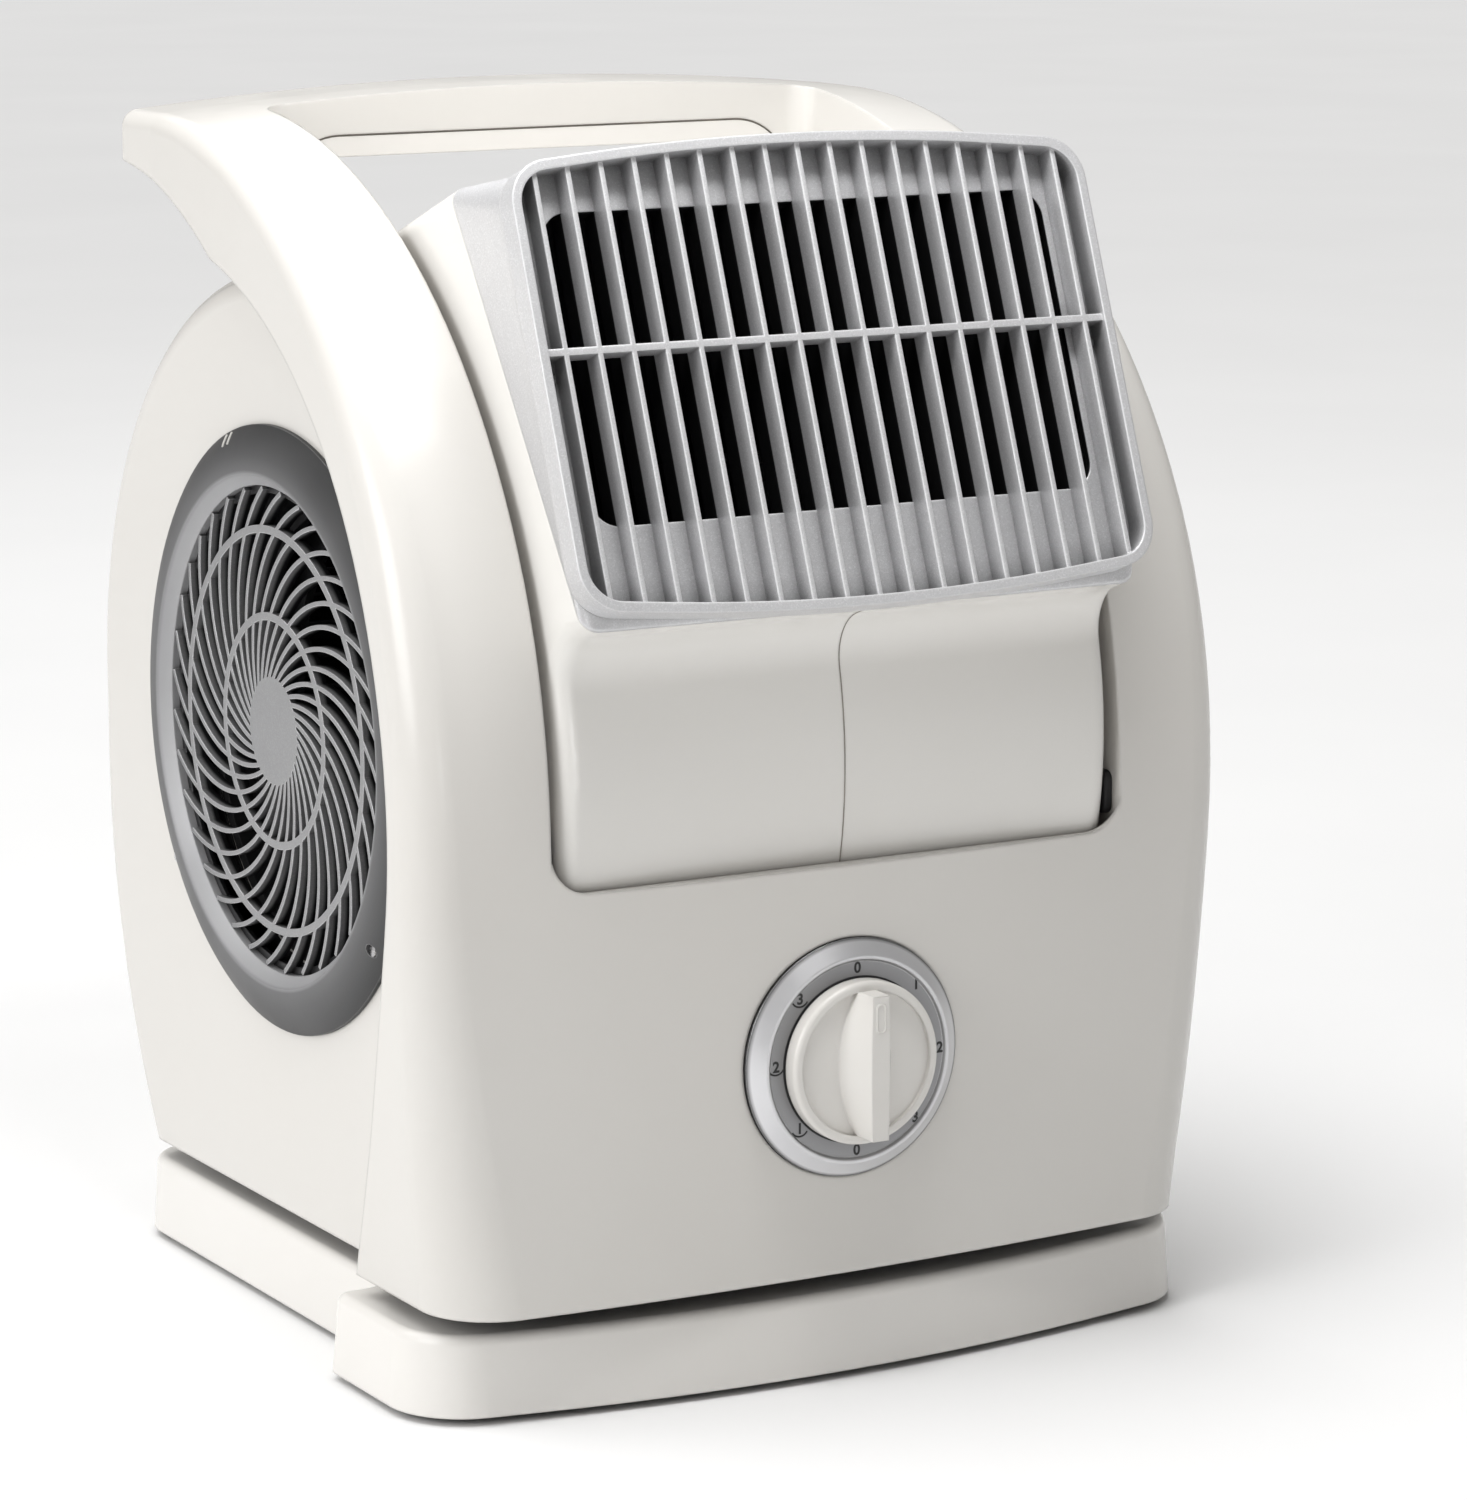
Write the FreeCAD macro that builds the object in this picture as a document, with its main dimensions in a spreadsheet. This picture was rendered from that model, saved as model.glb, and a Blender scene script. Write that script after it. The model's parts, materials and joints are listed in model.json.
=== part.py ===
"""A floor blower fan on an oscillating base.

Millimetres, +Z up, the front faces -Y. The origin is on the floor, on the axis that the body swivels on,
which is also the middle of the outer box. The fan axis runs along X, through the middle of both intakes.
"""
import FreeCAD
import Part
import Sketcher
import math
import os

SIZES = [
    # The outer box and the height of the fan axis
    ("overall_width", 292.1, "width over the arch at its widest"),
    ("overall_depth", 317.5, "nozzle lip to the back of the barrel"),
    ("overall_height", 393.7, "floor to the crown of the handle"),
    ("fan_axis_height", 194.0, "floor to the fan axis"),
    # Base
    ("foot_height", 2.5, "rubber foot below the base"),
    ("foot_radius", 9.0, "rubber foot"),
    ("base_top_height", 28.0, "floor to the top of the base"),
    ("base_front_width", 284.0, "front block of the base at the floor"),
    ("base_rear_width", 248.0, "narrow rear of the base at the floor"),
    ("base_front_reach", 139.5, "swivel axis to the front edge of the base"),
    ("base_front_bow", 17.0, "how far the front edge is bowed forward"),
    ("base_block_rear", 57.0, "swivel axis forward to the step in the base"),
    ("base_rear_reach", 132.0, "swivel axis to the rear edge of the base"),
    ("base_front_corner", 26.0, "front corners of the base in plan"),
    ("base_rear_corner", 18.0, "rear corners of the base in plan"),
    ("base_draft", 1.6, "how much the base narrows per side from floor to top"),
    ("base_wall", 2.5, "wall of the base"),
    ("base_top_round", 3.0, "rounded upper edge of the base"),
    ("cover_thickness", 2.0, "plate that closes the base from below"),
    # Swivel
    ("body_gap", 6.5, "dark gap between base and body"),
    ("swivel_post_radius", 16.0, "post under the body floor"),
    ("swivel_post_wall", 4.0, "wall of the hollow post"),
    ("swivel_clearance", 0.3, "post in the sleeve of the base, ring under the floor"),
    ("sleeve_wall", 4.0, "sleeve round the post"),
    ("sleeve_depth", 12.0, "sleeve below the top of the base"),
    ("thrust_ring_width", 12.0, "sliding ring that carries the body"),
    ("retainer_overlap", 8.0, "retaining disc beyond the post"),
    ("retainer_thickness", 3.0, "retaining disc"),
    # Oscillation drive
    ("crank_distance", 52.0, "swivel axis back to the drive shaft"),
    ("crank_throw", 30.0, "drive shaft to the crank pin"),
    ("crank_arm_width", 10.0, "crank arm"),
    ("crank_arm_thickness", 3.0, "crank arm"),
    ("crank_pin_radius", 2.5, "pin that runs in the slot of the base"),
    ("slot_play", 2.0, "play of the pin across the slot"),
    ("drive_shaft_radius", 3.0, "shaft of the drive motor"),
    ("drive_motor_radius", 24.0, "drive motor"),
    ("drive_motor_height", 15.0, "drive motor"),
    # Body shells
    ("wall", 2.8, "wall of the body mouldings"),
    ("fit_gap", 0.2, "gap round plates that drop into a shell"),
    ("floor_thickness", 3.0, "floor plate of the body"),
    ("arch_radius", 217.0, "crown line of the arch in side view"),
    ("arch_bow_radius", 1300.0, "bow of the arch across the width"),
    ("arch_foot_width", 271.0, "arch where it meets the base"),
    ("handle_width", 269.75, "arch at the handle"),
    ("arch_foot_depth", 74.0, "arch front to back at its foot"),
    ("arch_shoulder_depth", 27.0, "arch front to back at the shoulder"),
    ("handle_depth", 44.0, "arms of the arch at its top, before their underside is curved"),
    ("handle_end_depth", 22.6, "arms of the arch at the rear end of the handle"),
    ("underside_radius", 206.0, "curve of the arms' underside"),
    ("underside_slope", 7.0, "slope of the underside at the rear end of the handle, in degrees"),
    ("arch_foot_corner", 24.0, "rounded outer corner at the foot"),
    ("handle_corner", 6.0, "rounded outer corner at the handle"),
    ("handle_run", 27.0, "level stretch of the handle behind the top of the arch"),
    ("handle_end_round", 5.0, "rounded rear end of the handle"),
    ("window_width", 205.0, "opening between the arms of the arch"),
    ("window_sill_height", 165.0, "floor to the lower edge of the window"),
    ("window_corner", 13.0, "lower corners of the window"),
    ("handle_front", 63.0, "swivel axis back to the front face of the handle"),
    ("handle_inner_corner", 8.0, "where the handle bar runs into the arms, from above"),
    ("bar_height", 22.0, "handle bar between the arms, crown to underside"),
    ("bar_corner", 24.0, "where the handle bar runs into the arms, from the front"),
    ("grip_side_gap", 6.0, "arm to the grip piece at either end"),
    ("grip_height", 7.0, "grip piece under the handle bar"),
    ("grip_corner", 22.0, "ends of the grip piece"),
    ("barrel_radius", 147.5, "rear of the body round the fan axis"),
    ("barrel_width", 245.0, "body behind the arch"),
    ("barrel_edge_round", 9.0, "rounded side edges of the barrel"),
    ("barrel_straight", 29.0, "upright stretch below the fan axis at the back"),
    ("barrel_lower_radius", 262.0, "lower back, which tucks in to the floor"),
    ("barrel_slot_angle", 44.0, "back from the top to the edge that the drum slides under"),
    ("cheek_wall", 2.0, "inner walls beside the drum"),
    # Tilting drum and nozzle
    ("drum_side_gap", 4.0, "drum to the arm on either side"),
    ("drum_bay_gap", 2.0, "drum to the inner walls on either side"),
    ("drum_gap", 5.2, "drum to the inside of the barrel"),
    ("sill_gap", 1.2, "drum to the inside of the front panel"),
    ("drum_wall", 2.5, "wall of the drum"),
    ("drum_edge_round", 6.0, "rounded end edges of the drum"),
    ("drum_skirt_angle", 33.0, "drum front below the fan axis"),
    ("duct_lean", 21.0, "outlet above level"),
    ("duct_floor", 8.0, "lower wall of the outlet below the fan axis"),
    ("duct_fillet", 16.0, "hollow curve from the front of the drum to the lower wall of the outlet"),
    ("inlet_radius", 70.0, "air inlet in the ends of the drum"),
    ("trunnion_radius", 80.0, "collar that the drum turns on"),
    ("trunnion_wall", 4.0, "collar that the drum turns on"),
    ("trunnion_length", 12.0, "collar that the drum turns on"),
    ("trunnion_clearance", 0.3, "collar in its ring"),
    ("ring_wall", 5.0, "ring round the collar"),
    ("nozzle_width", 203.2, "lip of the nozzle"),
    ("nozzle_height", 148.6, "lip of the nozzle over its crowns"),
    ("nozzle_crown", 6.0, "bow of the upper and lower lip"),
    ("nozzle_corner", 14.0, "corners of the lip"),
    ("nozzle_middle", 65.2, "middle of the nozzle above the fan axis, square to the outlet"),
    ("lip_depth", 9.0, "lip front to back"),
    ("lip_wall", 3.0, "lip"),
    ("shroud_wall", 2.4, "shroud behind the lip"),
    ("shroud_top_depth", 36.0, "shroud at the top"),
    ("shroud_bottom_depth", 1.5, "shroud at the bottom"),
    ("flange_thickness", 2.5, "plate behind the vanes"),
    ("outlet_width", 178.0, "opening in the plate"),
    ("outlet_top", 55.0, "opening above the middle of the nozzle"),
    ("outlet_bottom", 42.0, "opening below the middle of the nozzle"),
    ("outlet_corner", 9.0, "corners of the opening"),
    ("vane_count", 17, "upright vanes"),
    ("vane_pitch", 11.5, "vane to vane"),
    ("vane_thickness", 1.6, "upright vane"),
    ("vane_depth", 7.5, "upright vane in front of the plate"),
    ("vane_tail", 5.0, "upright vane behind the plate, in the opening"),
    ("cross_bar_offset", 10.5, "cross bar above the middle of the nozzle"),
    ("cross_bar_height", 2.2, "cross bar"),
    # Intake grilles
    ("grille_diameter", 196.85, "rim of an intake"),
    ("rim_edge", 1.5, "outer edge of the rim beyond the side of the body"),
    ("rim_proud", 7.0, "crest of the rim beyond the side of the body"),
    ("rim_crest", 82.8, "radius of the rim's crest"),
    ("rim_bore", 79.0, "inner radius of the rim"),
    ("rim_seat", 2.0, "rim inside the opening of the body"),
    ("grille_proud", 3.0, "front of the spiral grille beyond the side of the body"),
    ("intake_bore", 90.0, "opening in the side of the body"),
    ("grille_depth", 4.0, "spiral grille front to back"),
    ("grille_ring_width", 2.6, "rings of the spiral grille"),
    ("grille_outer_ring", 65.0, "outer of the two rings that tie the vanes"),
    ("grille_inner_ring", 37.0, "inner of the two rings that tie the vanes"),
    ("grille_hub_radius", 17.5, "plain disc in the middle"),
    ("spiral_count", 36, "spiral vanes"),
    ("spiral_thickness", 1.5, "spiral vane"),
    ("spiral_turn", 66.0, "angle that a vane winds through from hub to rim"),
    ("spiral_middle", 0.57, "share of that angle by the middle of the vane"),
    # Dial
    ("dial_height", 104.0, "floor to the middle of the dial"),
    ("bezel_radius", 38.0, "ring round the knob"),
    ("bezel_face_radius", 32.0, "flat face of the ring"),
    ("bezel_height", 6.0, "ring beyond its seat"),
    ("bezel_seat", 1.2, "recess that the ring sits in"),
    ("knob_radius", 26.0, "knob"),
    ("knob_skirt", 5.5, "knob without its ridge"),
    ("knob_height", 14.0, "knob with its ridge"),
    ("knob_dish", 1.5, "how far the face of the knob lies below its rim"),
    ("knob_rim", 3.0, "raised rim of the knob"),
    ("knob_ridge_width", 6.5, "front of the ridge that is gripped"),
    ("knob_ridge_foot", 19.0, "foot of the ridge at its widest"),
    ("knob_clearance", 0.5, "knob in front of the ring"),
    ("spindle_radius", 3.0, "switch spindle"),
    ("spindle_clearance", 0.05, "spindle in the switch"),
    ("switch_width", 24.0, "switch behind the panel"),
    ("switch_depth", 14.0, "switch behind the panel"),
    ("switch_neck_radius", 5.0, "neck of the switch through the panel"),
    # Motor and wheels
    ("motor_radius", 42.0, "fan motor"),
    ("motor_length", 48.0, "fan motor over its can"),
    ("motor_nose", 7.0, "bearing nose at each end of the motor"),
    ("motor_nose_radius", 15.0, "bearing nose"),
    ("shaft_radius", 4.0, "fan shaft"),
    ("shaft_length", 118.0, "fan shaft"),
    ("shaft_clearance", 0.05, "shaft in its bearings"),
    ("bearing_radius", 9.0, "sleeve bearing"),
    ("bearing_length", 9.0, "sleeve bearing"),
    ("bracket_width", 16.0, "motor bracket along the shaft"),
    ("bracket_thickness", 3.0, "motor bracket"),
    ("wheel_radius", 78.0, "fan wheel"),
    ("wheel_width", 52.0, "fan wheel along the shaft"),
    ("wheel_gap", 3.0, "motor nose to the plate of the wheel"),
    ("wheel_plate", 2.0, "plate of the wheel"),
    ("wheel_hub_radius", 11.0, "hub of the wheel"),
    ("wheel_hub_length", 12.0, "hub of the wheel"),
    ("blade_count", 36, "blades of a wheel"),
    ("blade_length", 12.0, "blade from root to tip"),
    ("blade_thickness", 1.3, "blade"),
    ("nut_width", 13.0, "nut across its flats"),
    ("nut_height", 5.0, "nut"),
    # Small pieces
    ("screw_radius", 1.5, "screw shank"),
    ("screw_head_radius", 3.2, "screw head"),
    ("screw_head_height", 1.8, "screw head"),
    ("boss_radius", 4.5, "screw boss"),
    ("capacitor_length", 38.0, "run capacitor"),
    ("capacitor_width", 18.0, "run capacitor"),
    ("capacitor_height", 20.0, "run capacitor"),
    ("gland_radius", 6.0, "cord inlet"),
    ("gland_height", 58.0, "floor to the cord inlet"),
]

doc = FreeCAD.newDocument("floor_blower_fan")
sheet = doc.addObject("Spreadsheet::Sheet", "sizes")
for row, (alias, value, note) in enumerate(SIZES, start=1):
    sheet.set(f"A{row}", note)
    sheet.set(f"B{row}", str(value))
    sheet.setAlias(f"B{row}", alias)
doc.recompute()


class Sizes:
    """The sheet's sizes as plain numbers, for shapes that are worked out in code."""


size = Sizes()
for alias, value, note in SIZES:
    setattr(size, alias, float(sheet.get(alias)))

PARTS = []
PLACE_NAMES = ("x", "y", "z")


def vector(x, y, z):
    return FreeCAD.Vector(x, y, z)


X_AXIS = vector(1, 0, 0)
Y_AXIS = vector(0, 1, 0)
Z_AXIS = vector(0, 0, 1)
FAR = 3 * size.overall_height

# Places that several pieces share
FAN_Y = size.overall_depth / 2 - size.barrel_radius
FAN_Z = size.fan_axis_height
BODY_Z = size.base_top_height + size.body_gap
FLOOR_TOP = BODY_Z + size.floor_thickness
ARCH_Z = size.overall_height - size.arch_radius
FRONT_Y = -size.base_front_reach
ARCH_Y = FRONT_Y + size.arch_radius
HALF_WINDOW = size.window_width / 2
HALF_BARREL = size.barrel_width / 2
HALF_DRUM = HALF_WINDOW - size.drum_side_gap
HALF_BAY = HALF_DRUM + size.drum_bay_gap
DRUM_RADIUS = size.barrel_radius - size.wall - size.drum_gap
DRUM_FRONT_RADIUS = FAN_Y - FRONT_Y - size.wall - size.sill_gap
BEZEL_SEAT_Y = FRONT_Y + size.bezel_seat
WHEEL_START = size.motor_length / 2 + size.motor_nose + size.wheel_gap

# The same places as expressions, for pieces that the sheet drives directly
FAN_Y_TEXT = "sizes.overall_depth / 2 - sizes.barrel_radius"
FAN_Z_TEXT = "sizes.fan_axis_height"
BODY_Z_TEXT = "sizes.base_top_height + sizes.body_gap"
FLOOR_TOP_TEXT = BODY_Z_TEXT + " + sizes.floor_thickness"
BEZEL_SEAT_TEXT = "-sizes.base_front_reach + sizes.bezel_seat"
WHEEL_START_TEXT = "sizes.motor_length / 2 + sizes.motor_nose + sizes.wheel_gap"


# Helpers for pieces of the document

def number(text):
    """The value of an expression of the sheet's sizes."""
    value = sheet.evalExpression(text)
    return float(getattr(value, "Value", value))


def keep(piece, label):
    """Names a finished sub-part and lists it for writing."""
    piece.Label = label
    PARTS.append(piece)
    return piece


def feature(label, shape):
    """A sub-part whose shape is worked out in code."""
    piece = doc.addObject("Part::Feature", label)
    piece.Shape = shape
    return keep(piece, label)


def set_place(piece, x="0", y="0", z="0"):
    """Ties the place of a piece to the sheet."""
    for name, text in zip(PLACE_NAMES, (x, y, z)):
        piece.setExpression(f"Placement.Base.{name}", text)


def origin_feature(body, role):
    """A base plane or axis of a body, by its role."""
    return next(item for item in body.Origin.OriginFeatures if item.Role == role)


def new_body(label, x="0", y="0", z="0"):
    body = doc.addObject("PartDesign::Body", label)
    set_place(body, x, y, z)
    return keep(body, label)


def new_sketch(body, name, plane):
    sketch = body.newObject("Sketcher::SketchObject", name)
    sketch.AttachmentSupport = [(origin_feature(body, plane), "")]
    sketch.MapMode = "FlatFace"
    return sketch


def raise_sketch(sketch, text):
    """Moves a sketch along the normal of its plane."""
    sketch.setExpression("AttachmentOffset.Base.z", text)


def polygon(body, name, plane, corners):
    """A closed sketch whose corners are pairs of expressions of the sheet's sizes."""
    sketch = new_sketch(body, name, plane)
    places = [vector(number(across), number(along), 0) for across, along in corners]
    count = len(places)
    for i in range(count):
        sketch.addGeometry(Part.LineSegment(places[i], places[(i + 1) % count]), False)
    for i in range(count):
        sketch.addConstraint(Sketcher.Constraint("Coincident", i, 2, (i + 1) % count, 1))
    for i, pair in enumerate(corners):
        for kind, text in zip(("DistanceX", "DistanceY"), pair):
            index = sketch.addConstraint(Sketcher.Constraint(kind, -1, 1, i, 1, number(text)))
            sketch.setExpression(f"Constraints[{index}]", text)
    return sketch


def circles(body, name, plane, radii, across="0", along="0"):
    """A sketch of circles about one centre, each radius an expression."""
    sketch = new_sketch(body, name, plane)
    middle = vector(number(across), number(along), 0)
    for i, text in enumerate(radii):
        sketch.addGeometry(Part.Circle(middle, Z_AXIS, number(text)), False)
        for kind, place in zip(("DistanceX", "DistanceY"), (across, along)):
            index = sketch.addConstraint(Sketcher.Constraint(kind, -1, 1, i, 3, number(place)))
            sketch.setExpression(f"Constraints[{index}]", place)
        index = sketch.addConstraint(Sketcher.Constraint("Radius", i, number(text)))
        sketch.setExpression(f"Constraints[{index}]", text)
    return sketch


def pad(body, sketch, length, reverse=False, midplane=False):
    piece = body.newObject("PartDesign::Pad", sketch.Name + "_pad")
    piece.Profile = sketch
    piece.setExpression("Length", length)
    piece.Reversed = reverse
    piece.Midplane = midplane
    return piece


def pocket(body, sketch, length, reverse=False):
    """A cut along the sketch's normal, which has to take something away."""
    doc.recompute()
    before = body.Shape.Volume
    piece = body.newObject("PartDesign::Pocket", sketch.Name + "_pocket")
    piece.Profile = sketch
    piece.setExpression("Length", length)
    piece.Reversed = reverse
    doc.recompute()
    if body.Shape.Volume >= before:
        raise ValueError(f"{piece.Name} cuts nothing")
    return piece


def revolve(body, sketch, axis):
    piece = body.newObject("PartDesign::Revolution", sketch.Name + "_turned")
    piece.Profile = sketch
    piece.ReferenceAxis = (origin_feature(body, axis), [""])
    piece.Angle = 360.0
    return piece


def polar_pattern(body, base, axis, count):
    piece = body.newObject("PartDesign::PolarPattern", base.Name + "_round")
    piece.Originals = [base]
    piece.Axis = (origin_feature(body, axis), [""])
    piece.Angle = 360.0
    piece.setExpression("Occurrences", count)
    body.Tip = piece
    return piece


def cylinder(name, radius, height, x="0", y="0", z="0", axis=Z_AXIS):
    """A Part cylinder whose sizes and place are expressions."""
    piece = doc.addObject("Part::Cylinder", name)
    piece.setExpression("Radius", radius)
    piece.setExpression("Height", height)
    piece.Placement = FreeCAD.Placement(vector(0, 0, 0), FreeCAD.Rotation(Z_AXIS, axis))
    set_place(piece, x, y, z)
    return piece


def cut_piece(name, base, tool):
    piece = doc.addObject("Part::Cut", name)
    piece.Base = base
    piece.Tool = tool
    return piece


def group(label, pieces):
    """Separate alike solids that share one node."""
    piece = doc.addObject("Part::Compound", label)
    piece.Links = pieces
    return keep(piece, label)


# Helpers for shapes that are worked out in code

def plan(height):
    """Maps a flat outline onto a level plane."""
    return lambda across, along: vector(across, along, height)


def rounded_outline(corners, place):
    """A closed wire of straight runs and tangent arcs, from corners given as (across, along, radius)."""
    count = len(corners)
    turns = []
    for i, (across, along, radius) in enumerate(corners):
        here = vector(across, along, 0)
        back = vector(*corners[i - 1][:2], 0) - here
        ahead = vector(*corners[(i + 1) % count][:2], 0) - here
        back.normalize()
        ahead.normalize()
        half = back.getAngle(ahead) / 2
        reach = radius / math.tan(half)
        inward = back + ahead
        inward.normalize()
        middle = here + inward * (radius / math.sin(half) - radius)
        turns.append((here + back * reach, middle, here + ahead * reach, radius))
    edges = []
    for i, (start, middle, end, radius) in enumerate(turns):
        following = turns[(i + 1) % count][0]
        if radius > 0:
            arc = Part.Arc(place(start.x, start.y), place(middle.x, middle.y), place(end.x, end.y))
            edges.append(arc.toShape())
        if end.distanceToPoint(following) > 1e-6:
            edges.append(Part.LineSegment(place(end.x, end.y), place(following.x, following.y)).toShape())
    return Part.Wire(edges)


def prism(wire, travel):
    return Part.Face(wire).extrude(travel)


def rod(radius, start, direction, length):
    return Part.makeCylinder(radius, length, start, direction)


def tube(outer, inner, start, direction, length):
    return rod(outer, start, direction, length).cut(rod(inner, start, direction, length))


def block(x0, x1, y0, y1, z0, z1):
    return Part.makeBox(x1 - x0, y1 - y0, z1 - z0, vector(x0, y0, z0))


def screw(place, direction, length, share=1.0):
    """A pan-head screw: the head's underside is at the place, and the shank runs along the direction."""
    height = share * size.screw_head_height
    head = rod(share * size.screw_head_radius, place - direction * height, direction, height)
    return head.fuse(rod(share * size.screw_radius, place, direction, length)).removeSplitter()


# Base

def shallow_bow(half, bow):
    """The corner that a shallow bow is drawn from: how far it stands up over the ends, and its radius."""
    return 1.6 * bow, 0.47 * half * half / bow


def base_outline(inset, height):
    """The base in plan: a wide bowed block in front, narrow behind."""
    front = size.base_front_width / 2 - inset
    rear = size.base_rear_width / 2 - inset
    step = -size.base_block_rear - inset
    shoulder = FRONT_Y + size.base_front_bow + inset
    back = size.base_rear_reach - inset
    crest, bow_radius = shallow_bow(front, size.base_front_bow)
    right = [
        (front, shoulder, size.base_front_corner - inset),
        (front, step, 5.0),
        (rear, step, 6.0 + inset),
        (rear, back, size.base_rear_corner - inset),
    ]
    left = [(-across, along, radius) for across, along, radius in reversed(right)]
    return rounded_outline([(0.0, shoulder - crest, bow_radius)] + right + left, plan(height))


def base_screw_places():
    side = size.base_rear_width / 2 - 5 * size.boss_radius
    front = FRONT_Y + size.base_front_bow + 6 * size.boss_radius
    rear = size.base_rear_reach - 6 * size.boss_radius
    return [(x, y) for x in (-side, side) for y in (front, rear)]


def crank_slot(width, start, end, z, height):
    """A round-ended slot on the line behind the swivel axis."""
    half = width / 2
    slot = block(-half, half, start, end, z, z + height)
    for y in (start, end):
        slot = slot.fuse(rod(half, vector(0, y, z), Z_AXIS, height))
    return slot


def build_base():
    under = size.foot_height
    top = size.base_top_height
    inner_top = top - size.base_wall
    outer = Part.makeLoft([base_outline(0.0, under), base_outline(size.base_draft, top)], True, True)
    rim = [edge for edge in outer.Edges if edge.BoundBox.ZMin > top - 0.01]
    outer = outer.makeFillet(size.base_top_round, rim)
    hollow = Part.makeLoft([base_outline(size.base_wall, under),
                            base_outline(size.base_wall + size.base_draft, inner_top)], True, True)
    shell = outer.cut(hollow)

    sleeve_bore = size.swivel_post_radius + size.swivel_clearance
    sleeve_bottom = top - size.sleeve_depth
    sleeve = rod(sleeve_bore + size.sleeve_wall, vector(0, 0, sleeve_bottom), Z_AXIS, size.sleeve_depth - 1)
    cover_top = under + size.cover_thickness
    bosses = [rod(size.boss_radius, vector(x, y, cover_top), Z_AXIS, inner_top - cover_top + 0.5)
              for x, y in base_screw_places()]
    shell = shell.fuse([sleeve] + bosses).removeSplitter()
    shell = shell.cut(rod(sleeve_bore, vector(0, 0, 0), Z_AXIS, FAR))

    slot_width = 2 * (size.crank_pin_radius + size.slot_play)
    nearest = math.hypot(size.crank_distance, size.crank_throw)
    furthest = size.crank_distance + size.crank_throw
    shell = shell.cut(crank_slot(slot_width, nearest, furthest, inner_top - 1, size.base_wall + 2))
    holes = [rod(size.screw_radius, vector(x, y, cover_top), Z_AXIS, 10.0) for x, y in base_screw_places()]
    feature("base_shell", shell.cut(holes))

    cover = prism(base_outline(size.base_wall + size.fit_gap + size.base_draft / 4, under),
                  Z_AXIS * size.cover_thickness)
    hole_radius = size.screw_head_radius + size.fit_gap
    cover = cover.cut([rod(size.screw_radius, vector(x, y, 0), Z_AXIS, FAR) for x, y in base_screw_places()])
    recess = size.screw_head_height
    cover = cover.cut([rod(hole_radius, vector(x, y, 0), Z_AXIS, under + recess / 2)
                       for x, y in base_screw_places()])
    feature("base_cover", cover)
    heads = [screw(vector(x, y, under + recess / 2), Z_AXIS, 10.0) for x, y in base_screw_places()]
    feature("base_screws", Part.makeCompound(heads))

    feet = []
    for i, (side, end) in enumerate(((-1, -1), (1, -1), (-1, 1), (1, 1))):
        foot = doc.addObject("Part::Cone", f"foot_{i}")
        foot.setExpression("Radius1", "sizes.foot_radius - 1")
        foot.setExpression("Radius2", "sizes.foot_radius")
        foot.setExpression("Height", "sizes.foot_height")
        x_text = f"{side} * (sizes.base_rear_width / 2 - 2 * sizes.foot_radius)"
        front_text = "-sizes.base_front_reach + sizes.base_front_bow + 1.6 * sizes.foot_radius"
        rear_text = "sizes.base_rear_reach - 1.6 * sizes.foot_radius"
        set_place(foot, x_text, front_text if end < 0 else rear_text, "0")
        feet.append(foot)
    group("base_feet", feet)


def build_swivel():
    """The sliding ring on the base, and the disc that keeps the body from lifting off."""
    bore = "sizes.swivel_post_radius + sizes.sleeve_wall + 3"
    ring = new_body("swivel_thrust_ring", z="sizes.base_top_height")
    top = "sizes.body_gap - sizes.swivel_clearance"
    outside = bore + " + sizes.thrust_ring_width"
    sketch = polygon(ring, "thrust_section", "XZ_Plane",
                     [(bore, "0"), (outside, "0"), (outside, top + " - 1.5"), (outside + " - 1.5", top),
                      (bore + " + 1.5", top), (bore, top + " - 1.5")])
    revolve(ring, sketch, "Z_Axis")

    retainer = new_body("swivel_retainer",
                        z="sizes.base_top_height - sizes.sleeve_depth - sizes.swivel_clearance"
                          " - sizes.retainer_thickness")
    rim = "sizes.swivel_post_radius + sizes.retainer_overlap"
    bore = "sizes.swivel_post_radius - sizes.swivel_post_wall"
    sketch = polygon(retainer, "retainer_section", "XZ_Plane",
                     [(bore, "0"), (rim + " - 1", "0"), (rim, "1"), (rim, "sizes.retainer_thickness"),
                      (bore, "sizes.retainer_thickness")])
    revolve(retainer, sketch, "Z_Axis")


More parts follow.
